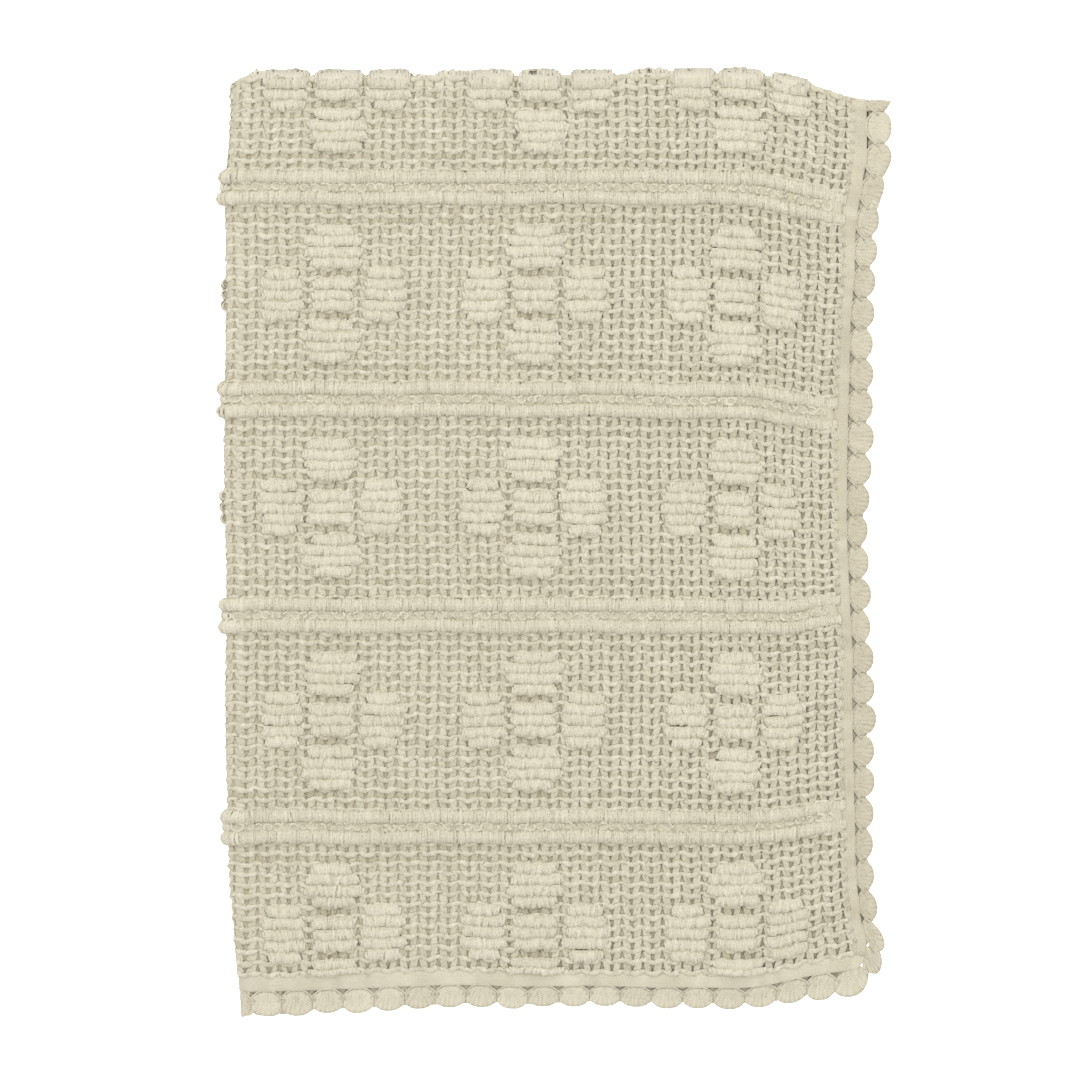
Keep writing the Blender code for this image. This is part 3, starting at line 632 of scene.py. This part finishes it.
def makeUnderBars(first, last):
    # The turned-under half rests on the table: each column is one long flat yarn
    rng = np.random.default_rng(bars["seed"] + 1)
    along = np.linspace(-0.001, lie["halfLength"] - 0.001, underYarns["barSteps"])
    place = columnPlace(np.arange(first, last + 1))[:, None] + 0 * along
    across = place + drift(place, along + 0 * place)[0]
    line = np.stack((across, along + 0 * across, underYarns["barHeight"] + 0 * across), axis=2)
    half = bars["half"] * underYarns["barShare"] * (1 + rng.normal(0, 0.05, across.shape))
    shade = underYarns["barTone"] + rng.normal(0, 0.06, across.shape)
    return sweep(line, half, underYarns["barHigh"], roundSection, shade)


topCords = makePiece("groundCordsTop", [
    makeCords(chart["topFirst"], chart["lastColumn"], cords["steps"], cords["radius"], cords["height"],
              cords["tone"]),
], cottonYarn)
topBars = makePiece("groundBarsTop", [
    makeBars(chart["topFirst"], chart["lastColumn"]),
], cottonYarn)
underWeave = makePiece("groundWeaveUnder", [
    makeCords(chart["underFirst"], chart["topFirst"], underYarns["cordSteps"], underYarns["cordRadius"],
              underYarns["cordHeight"], underYarns["cordTone"]),
    makeUnderBars(chart["underFirst"], chart["topFirst"] - 1),
], cottonYarn)
print("ground yarns laid")


# Pile: every roll is a row of upright strands that loop over from its upper to its lower edge

pile = {
    "spacing": 0.00140, "strandWide": 0.00118, "strandHigh": 0.00066, "foot": 0.0010, "lumps": 0.00018,
    "reach": 0.00316, "rise": 0.00255, "lean": 0.00045, "wisp": 0.0007, "tone": 0.80, "seed": 21,
    "coreLong": 0.92, "coreWide": 0.0034, "coreHigh": 0.0020, "coreFoot": 0.0012, "coreTone": 0.90,
}
tuft = {  # the roll over the top fold, in shares of a plain roll, but for its place
    "along": 0.0012, "reach": 1.95, "rise": 1.35, "strands": 1.3, "wisp": 0.25,
    "cores": ((0.0, 1.36), (-0.0018, 1.04)),  # how far along and how high each core is
}
hemRolls = {"room": 0.0045, "reach": 0.9, "lastRoom": 0.0012, "lastReach": 0.55}  # squeezed at the sewn edge
band = {
    "middle": 0.057, "rollAside": 0.0060, "reach": 0.0034, "rise": 0.0030, "foot": 0.0009, "lean": 0.0003,
    "first": -0.0086, "pastSeam": 0.0014, "foldStand": 0.35, "spacing": 0.00112, "strandWide": 0.00086,
    "tone": 0.79, "lumps": 0.00017, "seed": 31,
}
curls = {  # the loops between the two rolls of a band, and the cord they stand on
    "pitch": 0.0049, "radius": 0.00185, "yarn": 0.00088, "height": 0.0023, "foldHeight": 0.0008,
    "turn": 300, "fromFold": 0.003, "fromSeam": 0.006, "tone": 0.84, "lumps": 0.00014,
    "coreStep": 0.004, "coreHalf": 0.0088, "coreHigh": 0.0015, "coreTone": 0.55,
}
foldCores = {"long": 0.9, "wide": 0.9, "high": 0.75, "foot": 0.0008, "shift": 0.0018, "tone": 0.90}
loopTurns = np.radians((-8, 28, 64, 100, 140, 190))


def strandPaths(across, along, reach, rise, foot, lean, wisp=0.0):
    # (strands, steps, 3): from the upper foot over the crown to the lower foot, which lies wisp aside
    away = -np.cos(loopTurns)[None, :] * reach[:, None]
    up = np.sin(loopTurns)[None, :] * rise[:, None]
    forward = along[:, None] + away + lean * np.clip(up / np.maximum(rise[:, None], 1e-6), 0, 1)
    aside = across[:, None] - np.cos(loopTurns)[None, :] * np.broadcast_to(wisp, across.shape)[:, None]
    return np.stack((aside, forward, foot + up), axis=2)


strandPaintedShade = np.array((-0.15, -0.07, 0.0, 0.03, -0.03, -0.15))  # painted light and shade: a little paler on the crown, darker at the feet, where the strands shade each other


def placeRoll(repeat, row):
    # Where a motif's roll lies along the cloth, and its reach and rise in shares of a plain roll
    along = rowPlace(repeat, row)
    if repeat == 0 and row == 0:  # a tall tuft over the top fold
        return tuft["along"], tuft["reach"], tuft["rise"]
    if along < -0.004 or along > lie["halfLength"] + 0.003 or (repeat, row) == (0, -1):
        return None
    if along > lie["halfLength"]:
        return lie["halfLength"] - hemRolls["lastRoom"], hemRolls["lastReach"], 1.0
    if along > lie["halfLength"] - hemRolls["room"]:
        return lie["halfLength"] - hemRolls["room"], hemRolls["reach"], 1.0
    return along, 1.0, 1.0


def makeMotifs(column):
    rng = np.random.default_rng(pile["seed"] + column)
    lines, wides, tones, cores, coreWides, coreHighs = [], [], [], [], [], []
    for repeat in range(chart["rows"]):
        for roll in motifRolls:
            placed = placeRoll(repeat, roll["row"])
            if placed is None:
                continue
            along, reachShare, riseShare = placed
            isTuft = reachShare > 1
            middle = chart["columnRepeat"] * column + roll["middle"] + rng.normal(0, 0.10)
            halfColumns = roll["half"] * (1 + rng.normal(0, 0.05))
            ends = columnPlace(middle + halfColumns * np.array((-1.0, 1.0)))
            half = (ends[1] - ends[0]) / 2
            middle = (ends[1] + ends[0]) / 2
            count = int(round(2 * half / pile["spacing"] * (tuft["strands"] if isTuft else 1.0)))
            share = (np.arange(count) - (count - 1) / 2) / (count / 2)
            across = middle + share * half + rng.normal(0, 0.00009, count)
            ripple = np.sin(across / rng.uniform(0.0005, 0.0009) + rng.uniform(0, 6.3))
            wander = 0.00040 * np.sin(share * rng.uniform(2.0, 5.0) + rng.uniform(0, 6.3)) + 0.00016 * ripple
            wander = wander + rng.normal(0, 0.00022) + rng.normal(0, 0.00022, count)
            wisp = pile["wisp"] * np.sin(across / rng.uniform(0.0015, 0.0035) + rng.uniform(0, 6.3))
            wisp = wisp * (tuft["wisp"] if isTuft else 1.0)
            plump = np.sqrt(1 - np.abs(share) ** 3.0 * 0.85)
            reach = pile["reach"] * reachShare * plump * (1 + 0.05 * ripple + rng.normal(0, 0.05, count))
            rise = pile["rise"] * riseShare * plump * (1 + 0.05 * ripple + rng.normal(0, 0.05, count))
            rise = rise * (1 + rng.normal(0, 0.06))
            moveAcross, moveAlong = drift(across, along + 0 * across)
            lines.append(strandPaths(across + moveAcross, along + wander + moveAlong, reach, rise,
                                     pile["foot"], pile["lean"], wisp))
            wides.append(np.full(count, pile["strandWide"]) * (1 + rng.normal(0, 0.08, count)))
            tones.append(pile["tone"] + rng.normal(0, 0.03) + 0.04 * ripple + rng.normal(0, 0.05, count))
            coreAcross = middle + np.linspace(-pile["coreLong"], pile["coreLong"], 5) * half
            moveAcross, moveAlong = drift(coreAcross, along + 0 * coreAcross)
            for shift, tall in tuft["cores"] if isTuft else ((0.0, 1.0),):
                coreAlong = along + shift + wander.mean() + moveAlong
                coreUp = np.full(5, pile["coreFoot"])
                cores.append(np.stack((coreAcross + moveAcross, coreAlong, coreUp), axis=1))
                coreWides.append(pile["coreWide"] * reachShare)
                coreHighs.append(pile["coreHigh"] * riseShare * tall)
    shade = np.concatenate(tones)[:, None] + strandPaintedShade[None, :]
    return [
        sweep(np.concatenate(lines), np.concatenate(wides)[:, None], pile["strandHigh"], roundSection, shade,
              (-1.0, 0.0, 0.0), lumps=pile["lumps"]),
        sweep(np.array(cores), np.array(coreWides)[:, None], np.array(coreHighs)[:, None], roundSection,
              pile["coreTone"]),
    ]


def bandPlace(repeat):  # along, the middle between the two rolls of a band
    return chart["firstRow"] + repeat * chart["rowRepeat"] + band["middle"]


def makeBandRolls():
    rng = np.random.default_rng(band["seed"])
    lines, wides, tones = [], [], []
    for repeat in range(chart["rows"] - 1):
        for side in (-1, 1):
            middle = bandPlace(repeat) + side * band["rollAside"]
            across = np.arange(band["first"], lie["halfWidth"] + band["pastSeam"], band["spacing"])
            count = len(across)
            across = across + rng.normal(0, 0.00006, count)
            wander = 0.00035 * np.sin(across / 0.012 + rng.uniform(0, 6.3))
            wander = wander + 0.0002 * np.sin(across / 0.0047) + rng.normal(0, 0.00012, count)
            fromSeam = ease(lie["halfWidth"] - across, 0.0, 0.020)
            fade = ease(across, -0.0084, -0.0040) * (0.10 + 0.90 * fromSeam)
            fade = fade * (1 + band["foldStand"] * (1 - ease(across, 0.0, 0.012)))  # prouder over the fold
            reach = band["reach"] * (0.8 + 0.2 * fade) * (1 + rng.normal(0, 0.085, count))
            rise = (band["rise"] * fade + 0.0002) * (1 + rng.normal(0, 0.07, count))
            moveAcross, moveAlong = drift(across, middle + 0 * across)
            lines.append(strandPaths(across + moveAcross, middle + wander + moveAlong, reach, rise,
                                     band["foot"], band["lean"]))
            wides.append(np.full(count, band["strandWide"]) * (1 + rng.normal(0, 0.07, count)))
            tones.append(band["tone"] + rng.normal(0, 0.07, count))
    shade = np.concatenate(tones)[:, None] + strandPaintedShade[None, :]
    return sweep(np.concatenate(lines), np.concatenate(wides)[:, None], pile["strandHigh"], roundSection,
                 shade, (-1.0, 0.0, 0.0), lumps=band["lumps"])


def makeBandLoops():
    # A core cord with a curl every few millimetres
    rng = np.random.default_rng(band["seed"] + 1)
    cores, lines, radii, tones = [], [], [], []
    coreAcross = np.arange(band["first"], lie["halfWidth"], curls["coreStep"])
    coreAcross = np.append(coreAcross, lie["halfWidth"] - 0.0003)
    for repeat in range(chart["rows"] - 1):
        middle = bandPlace(repeat)
        fade = ease(coreAcross, -0.0080, -0.0030)
        moveAcross, moveAlong = drift(coreAcross, middle + 0 * coreAcross)
        cores.append(np.stack((coreAcross + moveAcross, middle + moveAlong, 0.0004 + 0.0006 * fade), axis=1))
        across = np.arange(band["first"] + curls["fromFold"], lie["halfWidth"] - curls["fromSeam"],
                           curls["pitch"])
        count = len(across)
        across = across + rng.normal(0, 0.0004, count)
        start = rng.uniform(0, 2 * math.pi, count)
        turns = start[:, None] + np.linspace(0.0, math.radians(curls["turn"]), 9)[None, :]
        grow = curls["radius"] * (1 + rng.normal(0, 0.12, count))[:, None]
        stretch = 1 + 0.35 * rng.random(count)[:, None]
        moveAcross, moveAlong = drift(across, middle + 0 * across)
        placeX = (across + moveAcross)[:, None] + grow * stretch * np.cos(turns)
        placeY = middle + (moveAlong + rng.normal(0, 0.0003, count))[:, None] + grow * np.sin(turns)
        fade = ease(across, -0.0080, -0.0020)[:, None]
        placeZ = curls["foldHeight"] + (curls["height"] - curls["foldHeight"]) * fade
        placeZ = placeZ + 0.0004 * np.cos(turns - start[:, None]) * fade
        lines.append(np.stack((placeX, placeY, placeZ), axis=2))
        radii.append(curls["yarn"] * (1 + rng.normal(0, 0.08, count)))
        tones.append(np.clip(curls["tone"] + rng.normal(0, 0.08, count), 0, 1))
    coreHigh = curls["coreHigh"] * (0.4 + 0.6 * ease(lie["halfWidth"] - coreAcross, 0.0, 0.006))
    radius = np.concatenate(radii)[:, None]
    return [
        sweep(np.array(cores), curls["coreHalf"], coreHigh, roundSection, curls["coreTone"]),
        sweep(np.concatenate(lines), radius, radius, roundSection, np.concatenate(tones)[:, None],
              lumps=curls["lumps"]),
    ]


foldRolls = [  # across, along, half width, reach and rise of rolls that show beyond the two folds
    *[(-0.0040, rowPlace(repeat, row), 0.0052, 0.0029, 0.0030) for repeat in (1, 2) for row in (-1, 0, 1)],
    *[(-0.0020, bandPlace(repeat), 0.0064, 0.0030, 0.0028) for repeat in range(chart["rows"] - 1)],
    (-0.0160, -0.0020, 0.0050, 0.0046, 0.0036), (-0.1230, -0.0020, 0.0095, 0.0046, 0.0040),
    (-0.2285, -0.0020, 0.0105, 0.0046, 0.0042),
]


def makeFoldRolls():
    rng = np.random.default_rng(pile["seed"] + 9)
    lines, tones, cores, coreWides, coreHighs = [], [], [], [], []
    for middle, along, half, reach, rise in foldRolls:
        overSide = along > 0.01  # over the side fold; the others lie over the top fold and don't drift
        count = int(round(2 * half / pile["spacing"]))
        share = (np.arange(count) - (count - 1) / 2) / (count / 2)
        plump = np.sqrt(1 - np.abs(share) ** 3.0 * 0.7)
        across = middle + share * half
        moveAlong = drift(across, along + 0 * across)[1] * overSide
        lines.append(strandPaths(across, along + moveAlong + rng.normal(0, 0.0002, count),
                                 reach * plump * (1 + rng.normal(0, 0.06, count)),
                                 rise * plump * (1 + rng.normal(0, 0.08, count)), pile["foot"], 0.0))
        # painted light: these rolls lie on the shaded under side of the folds and are made paler to offset
        # that shade
        tones.append(0.95 + rng.normal(0, 0.04, count))
        coreAcross = middle + np.linspace(-foldCores["long"], foldCores["long"], 5) * half
        for shift in (0.0,) if overSide else (0.0, foldCores["shift"]):
            coreAlong = along + shift + moveAlong.mean() + 0 * coreAcross
            cores.append(np.stack((coreAcross, coreAlong, np.full(5, foldCores["foot"])), axis=1))
            coreWides.append(reach * foldCores["wide"])
            coreHighs.append(rise * foldCores["high"])
    shade = np.concatenate(tones)[:, None] + strandPaintedShade[None, :]
    return [
        sweep(np.concatenate(lines), pile["strandWide"], pile["strandHigh"], roundSection, shade,
              (-1.0, 0.0, 0.0), lumps=pile["lumps"]),
        sweep(np.array(cores), np.array(coreWides)[:, None], np.array(coreHighs)[:, None], roundSection,
              foldCores["tone"]),
    ]


motifsLeft = makePiece("motifPileLeft", [*makeMotifs(0), *makeFoldRolls()], cottonYarn)
motifsMiddle = makePiece("motifPileMiddle", makeMotifs(1), cottonYarn)
motifsRight = makePiece("motifPileRight", makeMotifs(2), cottonYarn)
bandPile = makePiece("bandPile", [makeBandRolls()], cottonYarn)
bandLoops = makePiece("bandLoops", makeBandLoops(), cottonYarn)
print("pile laid")


# Lace edging: a tape, then scallops of radiating threads, edged by crossing cords

lace = {
    "tape": 0.0075, "tapeUnder": 0.0009, "lap": 0.0006, "notch": 0.0152, "width": 0.0185,
    "cornerCut": 0.0055, "gapTip": 0.0110, "gapStart": 0.36, "gapLap": 0.0003, "shortGap": 0.85,
    "scallopsLong": 55, "scallopsShort": 40, "ridges": 9, "ridge": 0.00026, "puff": 0.0004, "body": 0.0005,
    "fanFrom": 0.0035, "fanAngle": 50, "threadPitch": 0.0055,
    "tapeRise": 0.0003, "tapeHigh": 0.0008, "cord": 0.00045, "cordHeight": 0.0004, "crossing": 0.0002,
    "longTone": 0.60, "shortTone": 0.80, "cordTone": 0.82, "threadTone": 0.12, "hiddenPaintedLight": 0.25,
    "hiddenPuff": 0.0011, "hiddenLift": 0.0013, "hiddenShort": 1.15, "hiddenCorner": 0.7,
    "lowerIn": 0.0016, "upperBulge": 0.33, "seed": 41,
}
longSlips = np.array([  # from the fold along a long strip, and how far its scallops slip, in millimetres
    (0, 0.0), (9, -1.9), (60, -3.0), (100, -4.3), (160, -4.2), (200, -1.9), (250, -0.7), (285, 1.8),
    (310, 3.6), (340, 4.2), (360, 5.6), (405, 7.0), (423, 6.8), (440, 5.7), (457, 4.5), (474, 1.8),
    (485, 0.0),
]) / 1000
shortSlips = np.array([
    (0, 0.0), (16, -2.5), (32, -3.8), (49, -3.0), (65, -1.4), (81, 0.0), (114, 0.3), (146, 0.9), (178, 1.9),
    (211, 2.2), (243, 3.4), (276, 3.2), (292, 2.7), (308, 1.2), (324, -2.3), (340, 0.0),
]) / 1000


def innerArch(share):  # from the tape at the middle of a scallop to the gap's tip at its joints
    past = np.maximum(np.abs(share) - lace["gapStart"], 0.0) / (1 - lace["gapStart"])
    return lace["tape"] - lace["gapLap"] + (lace["gapTip"] - lace["tape"]) * past ** 1.5


def outerArch(share):  # a scallop's rim
    return lace["notch"] + (lace["width"] - lace["notch"]) * (1 - np.abs(share) ** 2.5)


def makeLeaves(middles, half, place, stepsAcross, stepsOut, hidden, gapShare, tone, rng):
    # Closed leaves; place turns (leaf, share along, distance out) into flat points. Those of the
    # second layer, which lies face down, fill the room under the gaps of the first
    count = len(middles)
    lift = (lace["hiddenLift"] * hidden)[:, None, None]
    puff = (lace["hiddenPuff"] * hidden)[:, None, None]
    share = np.linspace(-1, 1, stepsAcross)[None, :, None]
    out = np.linspace(0, 1, stepsOut)[None, None, :]
    size = (1 + rng.normal(0, 0.02, count))[:, None, None]
    inner, outer = innerArch(share), outerArch(share)
    closed = np.maximum(np.ceil(hidden), np.abs(middles) < 1.01 * half)[:, None, None]  # also at the folds
    closed = np.maximum(closed, 1.0 - gapShare)
    inner = inner + (lace["tape"] - lace["lap"] - inner) * closed
    distance = inner + (outer * np.where(np.abs(share) < 0.9, size, 1.0) - inner) * out
    width = np.broadcast_to(share * 0.995, distance.shape)
    bulge = (1 - np.abs(share) ** 3) * np.sin(math.pi * np.clip(out, 0.0, 1.0)) ** 0.7
    wobble = rng.uniform(-0.6, 0.6, count)[:, None, None]
    fan = np.arctan2(share * half, distance - lace["fanFrom"]) / math.radians(lace["fanAngle"])
    threads = np.cos(fan * lace["ridges"] * math.pi + wobble * (1 + 2 * out))
    threads = threads + 0.5 * rng.normal(0, 1, (count, stepsAcross, stepsOut))
    fineness = 1.0 if stepsAcross > 2 * lace["ridges"] else 0.0  # coarse leaves are smooth
    upper = 0.0001 + lace["puff"] * bulge
    upper = upper + lace["ridge"] * threads * fineness * (0.3 + 0.7 * np.minimum(out * 4, 1))
    upper = np.broadcast_to(upper, distance.shape)
    lower = np.broadcast_to(-lace["body"] - lift - puff * bulge, distance.shape)
    topPoints = place(middles, width, distance, upper)
    lowPoints = place(middles, width, distance, lower)
    each = stepsAcross * stepsOut
    points = np.concatenate((topPoints.reshape(count, each, 3), lowPoints.reshape(count, each, 3)), axis=1)
    grid = np.arange(each).reshape(stepsAcross, stepsOut)
    flatTop = np.stack((grid[:-1, :-1], grid[1:, :-1], grid[1:, 1:], grid[:-1, 1:]), axis=-1).reshape(-1, 4)
    rim = np.concatenate((grid[:-1, 0], grid[-1, :-1], grid[:0:-1, -1], grid[0, :0:-1]))
    rimNext = np.roll(rim, -1)
    sides = np.stack((rimNext, rim, rim + each, rimNext + each), axis=-1)
    body = np.concatenate((flatTop, flatTop[:, ::-1] + each, sides))
    faces = (body[None] + (np.arange(count) * 2 * each)[:, None, None]).reshape(-1, 4)
    local = np.stack((
        np.broadcast_to(distance, (count, stepsAcross, stepsOut)),
        np.broadcast_to(width * half / lace["threadPitch"], (count, stepsAcross, stepsOut)),
    ), axis=-1)
    local = np.concatenate((local.reshape(count, each, 2),) * 2, axis=1).reshape(-1, 2)
    # painted shade: each leaf darkens towards its joints, where the leaves meet and cross
    leafTone = tone + 0.06 + lace["threadTone"] * threads * fineness - 0.12 * ease(np.abs(share), 0.75, 1.0)
    # painted light: leaves of the second layer are made paler to offset the shade they lie in under the gaps
    # of the first
    leafTone = leafTone + lace["hiddenPaintedLight"] * hidden[:, None, None]
    shade = np.broadcast_to(leafTone, distance.shape).reshape(count, each)
    shade = np.concatenate((shade, shade), axis=1) + rng.normal(0, 0.05, (count, 1))
    return {
        "points": points.reshape(-1, 3), "tone": shade.reshape(-1), "faces": [faces], "uv": [local[faces]],
    }


def makeLaceStrip(name, node, longSide, side, hiddenEnd, fine):
    # hiddenEnd says which end lies second in the pile, or 0; fine threads only where they show
    rng = np.random.default_rng(lace["seed"] + (2 if longSide else 0) + side)
    count = lace["scallopsLong"] if longSide else lace["scallopsShort"]
    edge = lie["halfWidth"] if longSide else lie["halfLength"]
    length = lie["halfLength"] if longSide else lie["halfWidth"]
    slips = longSlips if longSide else shortSlips
    tone = lace["longTone"] if longSide else lace["shortTone"]
    half = (length - lace["cornerCut"]) / count
    middles = (np.arange(count) - (count - 1) / 2) * 2 * half

    def toFlat(run, out, height):
        run, out, height = np.broadcast_arrays(run, out, height)
        run = run + np.sign(run) * np.interp(np.abs(run), *slips.T)
        if not longSide:
            return np.stack((run - keptStraight(run, edge), side * (edge + out), height), axis=-1)
        pastTape = ease(out, lace["tape"], lace["notch"])
        if side > 0:
            out = out - np.interp(np.abs(run), *sewnIn.T) * (1 - pastTape)
            bulge = lace["upperBulge"] * ease(run, 0.055, 0.075)  # the upper layer's scallops reach further
            out = out + np.maximum(out - lace["notch"], 0.0) * bulge
        lower = np.where(side * run < 0, 1.0, side < 0)
        out = out - lace["lowerIn"] * ease(out, lace["tape"], lace["notch"]) * lower
        return np.stack((side * (edge + out), run, height), axis=-1)

    def onStrip(centres, share, distance, height):
        return toFlat(centres[:, None, None] + share * half, distance, height)

    def onCorner(centres, share, distance, height):
        # centres holds the end (-1 or 1) plus a quarter for the first leaf, three quarters for the second
        end = np.sign(centres)[:, None, None]
        turn = (np.abs(centres)[:, None, None] - 1.0 + share * 0.25) * math.pi / 2
        cut = lace["cornerCut"]
        reach = distance + cut
        return toFlat(end * (length - cut + reach * np.sin(turn)), reach * np.cos(turn) - cut, height)

    foldArc = topArc if longSide else sideArc
    runs = np.union1d(np.linspace(-length, length, 4 * count + 1), foldArc * np.linspace(-1.2, 1.2, 9))
    tapeOut = (lace["tape"] - lace["tapeUnder"]) / 2
    tapeHalf = (lace["tape"] + lace["tapeUnder"]) / 2
    tapeLine = toFlat(runs, np.full(len(runs), tapeOut), np.zeros(len(runs)))
    if not longSide:  # the tape turns both corners of the cloth
        bends = np.radians(np.linspace(15, 88, 6))
        after = toFlat(length + tapeOut * np.sin(bends), tapeOut * np.cos(bends), 0 * bends)
        before = toFlat(-length - tapeOut * np.sin(bends[::-1]), tapeOut * np.cos(bends[::-1]), 0 * bends)
        tapeLine = np.concatenate((before, tapeLine, after))
    tapeLine[:, 2] += lace["tapeRise"]
    tapeTone = tone + rng.normal(0, 0.08, len(tapeLine))[None, :]
    parts = [sweep(tapeLine[None], tapeHalf, lace["tapeHigh"], tapeSection, tapeTone, lumps=0.00010)]
    stepsAcross, stepsOut = (25, 7) if fine else (11, 4)
    hidden = np.where(middles * hiddenEnd > 0, 1.0 if longSide else lace["hiddenShort"], 0.0)
    gapShare = 1.0 if longSide else lace["shortGap"]
    parts.append(makeLeaves(middles, half, onStrip, stepsAcross, stepsOut, hidden, gapShare, tone, rng))
    if fine:  # crossing cords edge the leaves, one over the other at each joint
        share = np.linspace(-1.22, 1.22, 9)
        archOut = innerArch(share) * gapShare + (lace["tape"] - lace["lap"]) * (1 - gapShare)
        archHeight = lace["cordHeight"] + lace["crossing"] * np.sign(share) * (np.abs(share) > 0.9)
        arches = toFlat(middles[:, None] + share[None] * half, archOut[None], archHeight[None])
        keep = np.abs(middles) < length - 1.4 * half
        parts.append(sweep(arches[keep], lace["cord"], lace["cord"], roundSection, lace["cordTone"]))
    if not longSide:
        corners = np.array((-1.75, -1.25, 1.25, 1.75))
        hidden = np.where(corners * hiddenEnd > 0, lace["hiddenCorner"], 0.0)
        parts.append(makeLeaves(corners, half, onCorner, stepsAcross, stepsOut, hidden, 1.0, tone, rng))
    piece = makePiece(name, parts, laceThread)
    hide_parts(node)


makeLaceStrip("laceLongOuter", "lace_long_outer", True, 1, -1, True)
makeLaceStrip("laceLongInner", "lace_long_inner", True, -1, 0, False)
makeLaceStrip("laceShortOuter", "lace_short_outer", False, 1, 0, True)
makeLaceStrip("laceShortInner", "lace_short_inner", False, -1, 1, False)
print("lace sewn on")


# Camera, floor and light

studio = {  # the camera's place is measured from where the two folds meet
    "viewWidth": 0.5812, "viewHeight": 0.018, "cameraAway": 6.0, "cameraX": 0.16105, "cameraY": -0.24737,
    "sensor": 36.0, "skyStrength": 0.96, "keyEnergy": 24.0, "keySize": 2.0, "keyPlace": (-0.3, 1.9, 2.2),
    "floorHalf": 3.0, "floorUnder": 0.0004, "floorGlow": 1.0,
}

bpy.ops.mesh.primitive_plane_add(size=2 * studio["floorHalf"], location=(0.0, 0.0, -studio["floorUnder"]))
floor = bpy.context.object
floor.name = "floor"
paper = startMaterial("white studio paper")
paperShader = addNode(paper, "ShaderNodeBsdfPrincipled", {"Base Color": linear("#F4F4F2"), "Roughness": 0.9,
                      "Emission Color": linear("#FFFFFF"), "Emission Strength": studio["floorGlow"]}, {})
addNode(paper, "ShaderNodeOutputMaterial", {}, {"Surface": (paperShader, "BSDF")})
floor.data.materials.append(paper)
floor.visible_diffuse = False  # the white paper doesn't light the edges from below

world = bpy.data.worlds.new("studio sky")
bpy.context.scene.world = world
world.use_nodes = True
world.node_tree.nodes["Background"].inputs["Color"].default_value = linear("#FFFFFF")
world.node_tree.nodes["Background"].inputs["Strength"].default_value = studio["skyStrength"]

keyLamp = bpy.data.lights.new("key light", "AREA")
keyLamp.energy = studio["keyEnergy"]
keyLamp.size = studio["keySize"]
keyLight = bpy.data.objects.new("key light", keyLamp)
keyLight.location = studio["keyPlace"]
slope = math.atan2(studio["keyPlace"][1], studio["keyPlace"][2])
keyLight.rotation_euler = (-slope, 0.0, 0.0)
bpy.context.scene.collection.objects.link(keyLight)

cameraData = bpy.data.cameras.new("camera")
cameraData.sensor_width = studio["sensor"]
cameraData.lens = studio["sensor"] * (studio["cameraAway"] - studio["viewHeight"]) / studio["viewWidth"]
camera = bpy.data.objects.new("camera", cameraData)
camera.location = (
    studio["cameraX"] - centreShift[0], studio["cameraY"] - centreShift[1], studio["cameraAway"],
)
bpy.context.scene.collection.objects.link(camera)
bpy.context.scene.camera = camera
bpy.context.scene.view_settings.view_transform = "Standard"
print("camera and light set")
